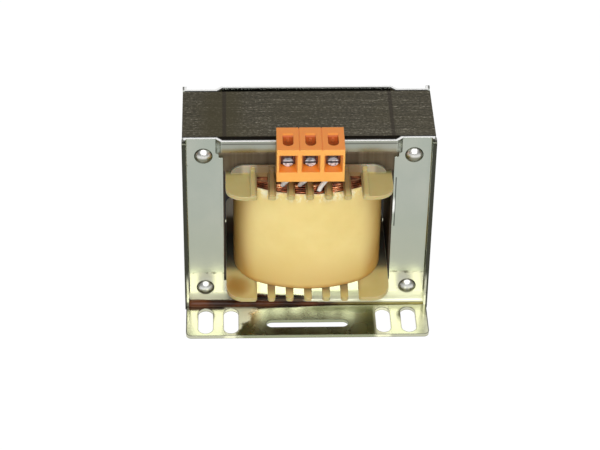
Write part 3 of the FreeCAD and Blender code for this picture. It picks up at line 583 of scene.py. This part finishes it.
def sheared_edges_on(tree, at, colour):
    """Upper edges, with a painted dark reflection inside and a painted highlight along the sheet's outside,
    and the lips' front edges, dark from the unplated cut and from painted shade.
    """
    upper = product(tree, facing(tree, "Z", 0.75, 0.9), rising(tree, at.height, UPPER_EDGE))
    outside = math_node(tree, "SUBTRACT", at.depth, sloping(tree, at.reach, STEP_RUN, STEP_DEPTH))
    bright = product(tree, upper, rising(tree, outside, SHEET_OUTSIDE))
    lip = product(tree, rising(tree, at.depth, LIP_FACE), rising(tree, at.reach, LIP_SIDE),
                  opposite(tree, facing(tree, "X", 0.5, 0.7, both_ways=True)))
    lip_share = larger(tree, rising(tree, at.height, LIP_DARK_FROM), rising(tree, at.reach, LIP_OUTSIDE))
    front_lip = product(tree, lip, at.in_front, lip_share)
    lip_end = product(tree, bright, rising(tree, at.reach, LIP_OUTSIDE),
                      rising(tree, at.depth, LIP_END_DEPTH))
    # Painted dark reflection along the upper edges
    colour = tinted(tree, colour, EDGE_PAINTED_DARK_REFLECTION, upper)
    # Painted highlight along the sheet's outside
    colour = tinted(tree, colour, EDGE_PAINTED_HIGHLIGHT, bright)
    # Lips' front edges: the dark unplated cut, with painted shade
    colour = tinted(tree, colour, LIP_CUT_AND_PAINTED_SHADE, front_lip)
    colour = tinted(tree, colour, LIP_END_GREY, lip_end)
    return colour, product(tree, bright, opposite(tree, front_lip))


def zinc_plate():
    """Zinc plated sheet: grey clouds, pits, a clear yellow coat low down, and sheared edges with a painted
    highlight and a painted dark reflection.
    """
    material, tree, shader = new_material("zinc_plate")
    at = places_on(tree)
    where = place_on(tree)
    clouds = noise(tree, where, 60.0, 4.0)
    fine = noise(tree, where, 420.0, 3.0, 0.6)
    colour = zinc_ground(tree, at, clouds, fine)
    colour = coat_on(tree, at, colour, where, fine)
    colour, brown, pale = bend_on(tree, at, colour)
    colour, matte, blurred = foot_on(tree, at, colour, where)
    colour = corner_on(tree, at, colour)
    colour = bar_on(tree, at, colour, clouds)
    colour = strip_on(tree, at, colour)
    colour, bright = sheared_edges_on(tree, at, colour)
    link(tree, colour, shader, "Base Color")
    dull = scaled(tree, brown, 0.35, grey_ramp(tree, clouds, 0.17, 0.25, 0.3, 0.7))
    link(tree, scaled(tree, blurred, 0.06, dull), shader, "Roughness")
    # The painted reflections on the bend and the foot are matte, not metal
    plated = scaled(tree, larger(tree, matte, pale), -0.9, 1.0)
    # The painted highlight on the upper edges is not metal either
    link(tree, product(tree, opposite(tree, bright), plated), shader, "Metallic")
    height_bump(tree, shader, noise(tree, where, 220.0, 3.0), 0.08, 0.0004, rounding=0.15)
    return material


def bright_rivet():
    """Rivet heads, with painted light: lighter on top and darker below, and painted shade where the dome
    meets the sheet.
    """
    material, tree, shader = new_material("bright_rivet")
    at = places_on(tree)
    where = place_on(tree)
    link(tree, grey_ramp(tree, noise(tree, where, 500.0), 0.28, 0.38), shader, "Roughness")
    normal = tree.nodes.new("ShaderNodeNewGeometry")
    split = tree.nodes.new("ShaderNodeSeparateXYZ")
    tree.links.new(normal.outputs["Normal"], split.inputs[0])
    upper = step(tree, split.outputs[2], -0.12, 0.18)
    # Painted light: the head's upper half lighter and its lower half darker
    colour = mix_colour(tree, upper, RIVET_PAINTED_UNDER_SHADE, RIVET_PAINTED_TOP_LIGHT)
    # Painted shade where the dome meets the sheet
    colour = tinted(tree, colour, RIVET_RIM_PAINTED_SHADE, falling(tree, at.depth, RIVET_RIM))
    link(tree, colour, shader, "Base Color")
    set_shader(shader, Metallic=1.0)
    height_bump(tree, shader, noise(tree, where, 350.0), 0.20, 0.0004)
    return material


# Finish of the core

def sheet_edges(tree, at, sheets, streaks, grains):
    """Speckled dark oxide, with a tone for each sheet, stains, a brown patch, and painted shade on the
    window sides.
    """
    sheet = tree.nodes.new("ShaderNodeTexWhiteNoise")
    sheet.noise_dimensions = "1D"
    tree.links.new(math_node(tree, "FLOOR", sheets, 0.0), sheet.inputs["W"])
    tone = scaled(tree, sheet.outputs["Value"], 0.10, math_node(tree, "MULTIPLY", streaks, 0.55))
    tone = scaled(tree, grains, 0.78, tone)
    clouds = noise(tree, place_on(tree), 45.0, 5.0, 0.6)
    colour = ramp(tree, tone, OXIDE_TONES)
    colour = tinted(tree, colour, OXIDE_STAIN, grey_ramp(tree, clouds, 0.0, 0.55, 0.45, 0.72))
    colour = tinted(tree, colour, OXIDE_PATCH, between(tree, at.left, CORE_PATCH, CORE_PATCH_FADE), 0.6)
    inside = between(tree, at.reach, WINDOW_SIDE, WINDOW_SIDE_FADE)
    # Painted shade on the window sides
    return tinted(tree, colour, WINDOW_PAINTED_SHADE, inside, 0.75)


def flat_faces(tree, at):
    """Brown varnish drawn over the flat faces, with painted shade under and behind the bar and beside the
    winding.
    """
    drawn = noise(tree, place_on(tree, (420.0, 1.0, 14.0)), 1.0, 3.0, 0.6)
    limb = product(tree, rising(tree, at.reach, LIMB_SIDE), falling(tree, at.height, LIMB_TOP))
    colour = ramp(tree, drawn, FLAT_TONES)
    shadow = between(tree, at.height, YOKE_SHADOW, YOKE_SHADOW_FADE)
    # Painted shade under the bar
    colour = tinted(tree, colour, YOKE_SHADOW_BROWN, shadow, 0.55)
    # Painted shade behind the bar
    colour = tinted(tree, colour, BEHIND_BAR_PAINTED_SHADE, rising(tree, at.height, BEHIND_BAR), 0.95)
    # Painted shade on the limbs beside the winding
    return tinted(tree, colour, LIMB_PAINTED_SHADE, limb, 0.9)


def lamination_steel():
    """Dark oxide on the edges of half millimetre sheets, with brown varnish over the flat faces.

    The sheets are counted along the stack, with a shift that keeps the count above zero.
    """
    material, tree, shader = new_material("lamination_steel")
    at = places_on(tree)
    sheets = axis_value(tree, "Y", 1 / (SHEET_THICKNESS * MM), SHEET_SHIFT)
    streaks = noise(tree, place_on(tree, (150.0, 2100.0, 150.0)), 1.0, 4.0, 0.75)
    grains = noise(tree, place_on(tree, (0.8, 1.2, 1.0)), 1050.0, 2.0, 0.8)
    flat = facing(tree, "Y", 0.6, 0.8, both_ways=True)
    edges = sheet_edges(tree, at, sheets, streaks, grains)
    link(tree, mix_colour(tree, flat, edges, flat_faces(tree, at)), shader, "Base Color")
    link(tree, grey_ramp(tree, streaks, 0.38, 0.58), shader, "Roughness")
    set_shader(shader, Metallic=0.4)
    gap = math_node(tree, "PINGPONG", sheets, 0.5)
    groove = product(tree, step(tree, gap, 0.03, 0.14), opposite(tree, flat))
    height_bump(tree, shader, scaled(tree, groove, 0.5, grains), 0.4, 0.0001)
    return material


# Finish of the bobbin and the windings

def comb_on(tree, at, colour):
    """Greyer upstands, and ribs that varnish made brown, most along their edges."""
    upstand = product(tree, rising(tree, at.from_level, UPSTAND_LEVEL),
                      falling(tree, at.depth, UPSTAND_FACE))
    comb = product(tree, falling(tree, at.reach, COMB_SIDE), falling(tree, at.depth, COMB_FRONT))
    colour = tinted(tree, colour, UPSTAND_GREY, upstand)
    colour = tinted(tree, colour, RIB_BROWN, comb, 0.85)
    return tinted(tree, colour, RIB_EDGE_BROWN, comb, edge_share(tree, RIB_EDGE), 0.7)


def dark_inside_on(tree, at, colour, low):
    """Painted shade on the flanges' stretches deep in the core's window, and the brown top of the rear lower
    ears.
    """
    dim = product(tree, low, falling(tree, at.depth, DIM_DEPTH))
    side = product(tree, rising(tree, at.reach, FLANGE_SIDE), falling(tree, at.depth, FLANGE_SIDE_DEPTH))
    rear_ear = product(tree, low, facing(tree, "Z", 0.3, 0.6), rising(tree, at.reach, REAR_EAR_SIDE),
                       rising(tree, at.rear, REAR_EAR_DEPTH))
    # Painted shade deep in the core's window
    colour = tinted(tree, colour, DIM_PAINTED_SHADE, dim, 0.93)
    # Painted shade on the flanges' sides near the core
    colour = tinted(tree, colour, FLANGE_SIDE_PAINTED_SHADE, side, 0.8)
    colour = tinted(tree, colour, REAR_EAR_BROWN, rear_ear, 0.8)
    return colour, larger(tree, dim, product(tree, side, low))


def ear_stain_on(tree, colour, clouds, low):
    """Amber spot on the lower left ear in front, fading out with the square of the distance."""
    middle_x, middle_y = EAR_STAIN_PLACE
    across = math_node(tree, "POWER", axis_value(tree, "X", 1 / MM, -middle_x), 2.0)
    along = math_node(tree, "POWER", axis_value(tree, "Y", 1 / MM, -middle_y), 2.0)
    spread = scaled(tree, clouds, 30.0, math_node(tree, "ADD", across, along))
    spot = product(tree, opposite(tree, step(tree, spread, *EAR_STAIN_SQUARES)), low)
    return tinted(tree, colour, EAR_AMBER, spot, 0.9)


def nylon():
    """Natural nylon: honey coloured, greyer at the upstands, brown where varnish soaked the ribs."""
    material, tree, shader = new_material("natural_nylon")
    at = places_on(tree)
    where = place_on(tree)
    clouds = noise(tree, where, 80.0, 3.0)
    low = falling(tree, at.height, LOWER_FLANGE_HEIGHT)
    colour = comb_on(tree, at, ramp(tree, clouds, HONEY_TONES))
    colour, hidden = dark_inside_on(tree, at, colour, low)
    colour = ear_stain_on(tree, colour, clouds, low)
    beside_comb = rising(tree, at.reach, COMB_SIDE)
    # Painted highlight along the ears' edges
    colour = tinted(tree, colour, EAR_EDGE_PAINTED_HIGHLIGHT, edge_share(tree, EAR_EDGE), beside_comb, 0.55)
    link(tree, colour, shader, "Base Color")
    link(tree, scaled(tree, hidden, -0.48, 0.5), shader, "Specular IOR Level")
    link(tree, scaled(tree, hidden, 0.5, 0.28), shader, "Roughness")
    link(tree, scaled(tree, hidden, -0.20, 0.20), shader, "Transmission Weight")
    set_shader(shader, IOR=1.5, Subsurface_Weight=0.35, Subsurface_Scale=0.0010)
    height_bump(tree, shader, noise(tree, where, 300.0), 0.08, 0.0003, rounding=0.3)
    return material


def soaked_tape(tree, at, clouds):
    """Cream that the varnish darkened towards the sides, low down and most at the left."""
    side = rising(tree, at.reach, TAPE_SIDE)
    low = falling(tree, at.height, TAPE_LOW_HEIGHT)
    soaked = scaled(tree, low, 0.50, math_node(tree, "MULTIPLY", side, 0.9))
    soaked = math_node(tree, "MULTIPLY", soaked, scaled(tree, clouds, 1.4, 0.3))
    colour = ramp(tree, clouds, CREAM_TONES)
    colour = tinted(tree, colour, TAPE_SOAKED, math_node(tree, "MINIMUM", soaked, 1.0))
    return tinted(tree, colour, TAPE_LEFT_BROWN, rising(tree, at.left, TAPE_LEFT), 0.75)


def tape_edges_on(tree, at, colour):
    """Pale torn bits near the upper edge, lightened further as painted highlights, a brown lower edge, and
    torn ends where the tape folds.
    """
    scraps = noise(tree, place_on(tree, (1.0, 1.0, 0.5)), 330.0, 4.0, 0.7)
    bits = step(tree, scraps, 0.50, 0.57)
    torn = noise(tree, place_on(tree, (1.0, 1.0, 0.15)), 420.0, 4.0, 0.7)
    below = axis_value(tree, "Z", -1.0, CORE_MIDDLE * MM)
    # Pale torn bits near the upper edge, lightened as painted highlights
    colour = tinted(tree, colour, TAPE_BITS_AND_HIGHLIGHT, rising(tree, at.level, TAPE_UPPER_LEVEL), bits, 0.75)
    colour = tinted(tree, colour, TAPE_LOWEST_BROWN, rising(tree, below, TAPE_LOWEST_LEVEL), 0.7)
    fold = rising(tree, at.from_level, TAPE_FOLD_LEVEL)
    return tinted(tree, colour, ramp(tree, torn, TORN_TONES), fold, 0.8)


def cream_tape():
    """Cream tape that the varnish darkened towards the sides and the lower edge."""
    material, tree, shader = new_material("cream_tape")
    at = places_on(tree)
    where = place_on(tree)
    clouds = noise(tree, where, 35.0, 5.0, 0.6)
    grain = noise(tree, place_on(tree, (1, 1, 5)), 160.0, 3.0)
    colour = tape_edges_on(tree, at, soaked_tape(tree, at, clouds))
    link(tree, colour, shader, "Base Color")
    link(tree, grey_ramp(tree, clouds, 0.36, 0.50), shader, "Roughness")
    set_shader(shader, Subsurface_Weight=0.12, Subsurface_Scale=0.001)
    height_bump(tree, shader, scaled(tree, grain, 0.35, noise(tree, where, 55.0, 3.0)), 0.18, 0.0008)
    return material


def copper_wire():
    """Enamelled copper, from bright to brown in spots."""
    material, tree, shader = new_material("enamelled_copper")
    where = place_on(tree)
    link(tree, ramp(tree, noise(tree, where, 240.0, 3.0), COPPER_TONES), shader, "Base Color")
    set_shader(shader, Metallic=0.9, Roughness=0.18, Coat_Weight=0.5)
    height_bump(tree, shader, noise(tree, where, 600.0), 0.1, 0.0002)
    return material


def inner_film():
    """Brown film between the windings."""
    material, tree, shader = new_material("insulating_film")
    link(tree, ramp(tree, noise(tree, place_on(tree), 90.0), FILM_TONES), shader, "Base Color")
    set_shader(shader, Roughness=0.4)
    return material


# Finish of the terminal block and the leads

def orange_plastic():
    """Orange plastic, with painted shade on top and inside the wire entries, and painted highlights along
    the edges.

    A point's place within its pole is the remainder over the pole pitch, after a shift by ten pitches
    and a half that keeps it above zero and puts the pole in the middle.
    """
    material, tree, shader = new_material("orange_plastic")
    at = places_on(tree)
    where = place_on(tree)
    pole = axis_value(tree, "X", 1.0, POLE_PITCH * POLE_SHIFT * MM)
    pole = math_node(tree, "MODULO", pole, POLE_PITCH * MM)
    from_pole = size_of(tree, math_node(tree, "SUBTRACT", pole, POLE_PITCH / 2 * MM))
    entry = product(tree, falling(tree, from_pole, ENTRY_HALF),
                    between(tree, at.front, ENTRY_DEPTH, ENTRY_DEPTH_FADE),
                    between(tree, at.height, ENTRY_HEIGHT, ENTRY_HEIGHT_FADE))
    colour = ramp(tree, noise(tree, where, 120.0), ORANGE_TONES)
    # Painted shade on the top faces
    colour = tinted(tree, colour, ORANGE_TOP_PAINTED_SHADE, facing(tree, "Z", 0.6, 0.9))
    # Painted shade inside the wire entries
    colour = tinted(tree, colour, ORANGE_ENTRY_PAINTED_SHADE, entry, 0.9)
    # Painted highlight along the edges
    colour = tinted(tree, colour, ORANGE_EDGE_PAINTED_HIGHLIGHT, edge_share(tree, BLOCK_EDGE), 0.4)
    link(tree, colour, shader, "Base Color")
    set_shader(shader, Roughness=0.42, Subsurface_Weight=0.10, Subsurface_Scale=0.0010)
    height_bump(tree, shader, noise(tree, where, 1500.0), 0.06, 0.0002, rounding=0.2)
    return material


def clamp_steel():
    """Dark plated clamps inside the block."""
    material, tree, shader = new_material("plated_clamp")
    link(tree, grey_ramp(tree, noise(tree, place_on(tree), 700.0), 0.12, 0.30), shader, "Roughness")
    set_shader(shader, Base_Color=CLAMP_GREY, Metallic=1.0)
    return material


def bright_screw():
    """Plated screws, with painted shade in their slots and on their upper part."""
    material, tree, shader = new_material("bright_screw")
    level = axis_value(tree, "Z", 1.0, -SCREW_HEIGHT * MM)
    slot = falling(tree, size_of(tree, level), SCREW_SLOT)
    smudge = noise(tree, place_on(tree), 620.0, 3.0)
    colour = ramp(tree, smudge, SCREW_TONES)
    # Painted shade on the screws' upper part
    colour = tinted(tree, colour, SCREW_UPPER_PAINTED_SHADE, rising(tree, level, SCREW_UPPER), 0.7)
    # Painted shade in the slots
    colour = tinted(tree, colour, SCREW_SLOT_PAINTED_SHADE, slot, 0.92)
    link(tree, colour, shader, "Base Color")
    set_shader(shader, Metallic=0.35, Roughness=0.22)
    height_bump(tree, shader, smudge, 0.25, 0.0003, rounding=0.2)
    return material


def white_sleeving():
    """White sleeves of the leads, with a fine lengthwise grain."""
    material, tree, shader = new_material("white_sleeving")
    link(tree, ramp(tree, noise(tree, place_on(tree), 200.0), SLEEVE_TONES), shader, "Base Color")
    set_shader(shader, Roughness=0.4)
    height_bump(tree, shader, noise(tree, place_on(tree, (1, 1, 0.3)), 900.0), 0.1, 0.0002)
    return material


def tin_solder():
    """Solder where the leads meet their tails."""
    material, tree, shader = new_material("tin_solder")
    link(tree, grey_ramp(tree, noise(tree, place_on(tree), 800.0), 0.18, 0.36), shader, "Roughness")
    set_shader(shader, Base_Color=SOLDER_GREY, Metallic=1.0)
    return material


def set_varnish():
    """Red-brown where the bead is thick, clear gold where it runs out thin to the right."""
    material, tree, shader = new_material("set_varnish")
    where = place_on(tree)
    lumps = noise(tree, where, 90.0, 4.0)
    thick = ramp(tree, lumps, VARNISH_TONES)
    thin = ramp(tree, lumps, VARNISH_GOLD_TONES)
    share = rising(tree, axis_value(tree, "X"), BEAD_THIN_FROM)
    link(tree, mix_colour(tree, share, thick, thin), shader, "Base Color")
    set_shader(shader, Roughness=0.34, Specular_IOR_Level=0.22)
    height_bump(tree, shader, noise(tree, where, 420.0, 3.0), 0.35, 0.0004)
    return material


# Pieces that replace plain solids

def stand_piece(name, mesh, material, slot_name, *nodes):
    """Put a smooth mesh in the scene, with its finish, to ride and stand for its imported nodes."""
    for face in mesh.polygons:
        face.use_smooth = True
    mesh.name = name
    piece = bpy.data.objects.new(name, mesh)
    bpy.context.scene.collection.objects.link(piece)
    piece.data.materials.clear()
    piece.data.materials.append(material)
    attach(piece, "root")
    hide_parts(*nodes)


def mesh_from_curve(data):
    """The surface of a curve with thickness, as a mesh."""
    holder = bpy.data.objects.new(data.name, data)
    bpy.context.scene.collection.objects.link(holder)
    bpy.context.view_layer.update()
    seen = holder.evaluated_get(bpy.context.evaluated_depsgraph_get())
    mesh = bpy.data.meshes.new_from_object(seen)
    bpy.data.objects.remove(holder)
    return mesh


def turn_outline(half_width, reach, corner, crown):
    """Places round one turn: crowned front and back, round corners and straight sides."""
    crown_y = reach - crown
    corner_x = half_width - corner
    corner_y = crown_y + math.sqrt((crown - corner) ** 2 - corner_x ** 2)
    lean = math.atan2(corner_x, corner_y - crown_y)
    quarter = []
    for i in range(ARC_STEPS + 1):
        turn = lean * i / ARC_STEPS
        quarter.append((crown * math.sin(turn), crown_y + crown * math.cos(turn)))
    for i in range(1, ARC_STEPS + 1):
        turn = lean + (math.pi / 2 - lean) * i / ARC_STEPS
        quarter.append((corner_x + corner * math.sin(turn), corner_y + corner * math.cos(turn)))
    quarter += [(half_width, corner_y * share) for share in (0.7, 0.35, 0.0)]
    half = quarter + [(x, -y) for x, y in quarter[-2::-1]]
    return half + [(-x, y) for x, y in half[-2:0:-1]]


def turn_level(y, row):
    """Height above the core's middle of the turns in a row, which follow the splayed flange."""
    rise = max(0.0, abs(y) - FLANGE_BEND) * FLANGE_RISE
    return FLANGE_LEVEL + rise - WIRE_RADIUS * (1 + ROW_PITCH * row)


def copper_turns():
    """Single turns of wire at both ends of the outer winding, as a curve."""
    data = bpy.data.curves.new("copper_turns", "CURVE")
    data.dimensions = "3D"
    data.bevel_depth = WIRE_RADIUS * MM
    data.bevel_resolution = 1
    data.resolution_u = 1
    chance = random.Random(7)
    for row in range(TURN_ROWS):
        for i in range(TURN_COUNT):
            share = (i + 0.5 * (row % 2)) / TURN_COUNT
            ring = [a + (b - a) * share for a, b in zip(INNER_TURN, OUTER_TURN)]
            outline = turn_outline(*ring)
            drop = chance.uniform(0.0, TURN_DROP)
            for side in (-1, 1):
                spline = data.splines.new("POLY")
                spline.points.add(len(outline) - 1)
                for point, (x, y) in zip(spline.points, outline):
                    z = CORE_MIDDLE + side * (turn_level(y, row) - drop)
                    point.co = (x * MM, y * MM, z * MM, 1.0)
                spline.use_cyclic_u = True
    return data


def ring_edges(bm, ring, height):
    """One closed ring of edges with the outline of a turn, at a height over the mounting surface."""
    corners = [bm.verts.new((x * MM, y * MM, height * MM)) for x, y in turn_outline(*ring)]
    return [bm.edges.new(pair) for pair in zip(corners, corners[1:] + corners[:1])]


def winding_piece(material):
    """The outer winding: its single turns at the ends and the layers wound between them."""
    mesh = mesh_from_curve(copper_turns())
    bm = bmesh.new()
    bm.from_mesh(mesh)
    depth = FLANGE_LEVEL - WIRE_RADIUS * 2 * TURN_ROWS
    outer_edges = ring_edges(bm, OUTER_TURN, CORE_MIDDLE - depth)
    inner_edges = ring_edges(bm, INNER_TURN, CORE_MIDDLE - depth)
    ends = bmesh.ops.bridge_loops(bm, edges=outer_edges + inner_edges)["faces"]
    body = bmesh.ops.extrude_face_region(bm, geom=ends)
    raised = [g for g in body["geom"] if isinstance(g, bmesh.types.BMVert)]
    bmesh.ops.translate(bm, verts=raised, vec=(0, 0, 2 * depth * MM))
    bmesh.ops.recalc_face_normals(bm, faces=bm.faces)
    bm.to_mesh(mesh)
    bm.free()
    stand_piece("outer_winding_turns", mesh, material, "copper", "winding_outer")


def bead_shape(share):
    """Radius and place of the varnish bead at a share of its length, thick at the left."""
    after = next(i for i, (place, _) in enumerate(BEAD_RADII) if place >= share and i > 0)
    (low, first), (high, second) = BEAD_RADII[after - 1], BEAD_RADII[after]
    along = (share - low) / (high - low)
    along = along * along * (3 - 2 * along)
    radius = first + (second - first) * along
    lumps = sum(size * math.sin(waves * share + start) for size, waves, start in BEAD_LUMPS)
    back, level = [a + (b - a) * share for a, b in zip(BEAD_LEFT, BEAD_RIGHT)]
    radius = radius * (1 + BEAD_UNEVEN_RADIUS * lumps)
    return radius, back - BEAD_UNEVEN_BACK * lumps, level + BEAD_UNEVEN_LEVEL * lumps


def varnish_piece(material):
    """The run of varnish in the front bend, with its ends drawn in to half their radius."""
    data = bpy.data.curves.new("varnish", "CURVE")
    data.dimensions = "3D"
    data.bevel_depth = MM
    data.bevel_resolution = 6
    data.resolution_u = 1
    data.use_fill_caps = True
    spline = data.splines.new("POLY")
    spline.points.add(BEAD_STEPS)
    for i, point in enumerate(spline.points):
        share = i / BEAD_STEPS
        radius, y, z = bead_shape(share)
        point.co = ((2 * share - 1) * BEAD_HALF_LENGTH * MM, y * MM, z * MM, 1.0)
        from_end = min(share, 1 - share)
        point.radius = radius * min(1.0, 0.5 + from_end * BEAD_STEPS / 2)
    stand_piece("varnish_run", mesh_from_curve(data), material, "varnish", "varnish_bead")


# Stage and light

def shadow_behind_object(tree):
    """Painted shadow: 1 on the floor right behind the object, fading out inside its outline as the camera
    sees it.
    """
    reach = size_of(tree, axis_value(tree, "X"))
    depth = axis_value(tree, "Y")
    return product(tree, opposite(tree, step(tree, reach, *SHADE_SIDE)), step(tree, depth, *SHADE_FRONT),
                   opposite(tree, step(tree, depth, *SHADE_REAR)))


def background_share(tree, shade):
    """How much of the floor shows as plain white, straight or in metal and clear plastic."""
    path = tree.nodes.new("ShaderNodeLightPath")
    mirrored = math_node(tree, "MULTIPLY", path.outputs["Is Glossy Ray"], REFLECTED_SHARE)
    clear = math_node(tree, "MULTIPLY", path.outputs["Is Transmission Ray"], REFLECTED_SHARE)
    seen = math_node(tree, "MULTIPLY", path.outputs["Is Camera Ray"], BACKGROUND_SHARE)
    total = larger(tree, seen, larger(tree, mirrored, clear))
    return product(tree, total, opposite(tree, shade))


def floor_finish():
    """Plain pale floor that shows as white, with a painted shadow right behind the object."""
    material, tree, shader = new_material("studio_floor")
    shade = shadow_behind_object(tree)
    link(tree, mix_colour(tree, shade, (FLOOR_WHITE,) * 3, (FLOOR_PAINTED_SHADOW,) * 3), shader, "Base Color")
    set_shader(shader, Roughness=0.9)
    white = tree.nodes.new("ShaderNodeEmission")
    white.inputs["Color"].default_value = (1.0, 1.0, 1.0, 1.0)
    white.inputs["Strength"].default_value = BACKGROUND_STRENGTH
    both = tree.nodes.new("ShaderNodeMixShader")
    tree.links.new(background_share(tree, shade), both.inputs[0])
    tree.links.new(shader.outputs[0], both.inputs[1])
    tree.links.new(white.outputs[0], both.inputs[2])
    output = next(n for n in tree.nodes if n.type == "OUTPUT_MATERIAL")
    tree.links.new(both.outputs[0], output.inputs["Surface"])
    return material


def floor():
    bm = bmesh.new()
    bmesh.ops.create_grid(bm, x_segments=1, y_segments=1, size=FLOOR_HALF)
    mesh = bpy.data.meshes.new("studio_floor")
    bm.to_mesh(mesh)
    bm.free()
    plane = bpy.data.objects.new("studio_floor", mesh)
    plane.data.materials.append(floor_finish())
    bpy.context.scene.collection.objects.link(plane)


def room():
    """White to the camera, and to the object a plain room that is lighter above."""
    world = bpy.data.worlds.new("studio_room")
    bpy.context.scene.world = world
    world.use_nodes = True
    tree = world.node_tree
    tree.nodes.clear()
    output = tree.nodes.new("ShaderNodeOutputWorld")
    seen = tree.nodes.new("ShaderNodeBackground")
    lit = tree.nodes.new("ShaderNodeBackground")
    seen.inputs["Color"].default_value = (1, 1, 1, 1)
    way = tree.nodes.new("ShaderNodeTexCoord")
    split = tree.nodes.new("ShaderNodeSeparateXYZ")
    tree.links.new(way.outputs["Generated"], split.inputs[0])
    tree.links.new(grey_ramp(tree, split.outputs[2], ROOM_LOW, ROOM_HIGH, 0.05, 0.75), lit.inputs["Color"])
    path = tree.nodes.new("ShaderNodeLightPath")
    both = tree.nodes.new("ShaderNodeMixShader")
    tree.links.new(path.outputs["Is Camera Ray"], both.inputs[0])
    tree.links.new(lit.outputs[0], both.inputs[1])
    tree.links.new(seen.outputs[0], both.inputs[2])
    tree.links.new(both.outputs[0], output.inputs[0])


def soft_light(name, place, size, radiance):
    """Square lamp of that size, whose power follows from how bright its face looks."""
    data = bpy.data.lights.new(name, "AREA")
    data.shape = "SQUARE"
    data.size = size
    data.energy = radiance * math.pi * size * size
    lamp = bpy.data.objects.new(name, data)
    lamp.location = place
    lamp.rotation_euler = (Vector(LAMP_AIM) - Vector(place)).to_track_quat("-Z", "Y").to_euler()
    bpy.context.scene.collection.objects.link(lamp)


def camera():
    """The photograph's view."""
    data = bpy.data.cameras.new("photograph_view")
    data.sensor_width = CAMERA_SENSOR
    data.lens = CAMERA_LENS
    data.clip_start = CAMERA_NEAREST
    eye = bpy.data.objects.new("photograph_view", data)
    look = (Vector(CAMERA_AIM) - Vector(CAMERA_PLACE)).to_track_quat("-Z", "Y").to_matrix().to_4x4()
    eye.matrix_world = Matrix.Translation(CAMERA_PLACE) @ look @ Matrix.Rotation(CAMERA_ROLL, 4, "Z")
    bpy.context.scene.collection.objects.link(eye)
    bpy.context.scene.camera = eye


def dress_nodes(record, nodes):
    """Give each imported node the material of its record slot, and return the materials by slot."""
    finishes = {
        "lamination": lamination_steel(), "zinc_sheet": zinc_plate(), "rivet": bright_rivet(),
        "bobbin_nylon": nylon(), "copper": copper_wire(), "inner_tape": inner_film(),
        "wrap_tape": cream_tape(), "terminal_plastic": orange_plastic(), "clamp_metal": clamp_steel(),
        "screw_metal": bright_screw(), "white_sleeve": white_sleeving(), "solder": tin_solder(),
        "varnish": set_varnish(),
    }
    for part in record["subparts"]:
        node = nodes[part["node"]]
        node.data.materials.clear()
        node.data.materials.append(finishes[part["material_slot"]])
    return finishes


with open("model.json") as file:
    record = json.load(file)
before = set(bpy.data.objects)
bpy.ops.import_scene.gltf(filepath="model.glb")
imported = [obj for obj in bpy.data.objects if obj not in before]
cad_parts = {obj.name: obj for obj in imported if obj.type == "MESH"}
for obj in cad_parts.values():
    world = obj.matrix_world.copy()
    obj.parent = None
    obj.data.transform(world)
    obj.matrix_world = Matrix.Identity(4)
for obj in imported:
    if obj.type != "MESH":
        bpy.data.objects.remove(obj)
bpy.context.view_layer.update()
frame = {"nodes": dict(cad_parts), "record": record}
finishes = dress_nodes(frame["record"], frame["nodes"])
floor()
room()
winding_piece(finishes["copper"])
varnish_piece(finishes["varnish"])
soft_light("front_softbox", FRONT_LAMP, FRONT_LAMP_SIZE, FRONT_LAMP_RADIANCE)
soft_light("rear_softbox", REAR_LAMP, REAR_LAMP_SIZE, REAR_LAMP_RADIANCE)
camera()
bpy.context.scene.view_settings.view_transform = "Standard"
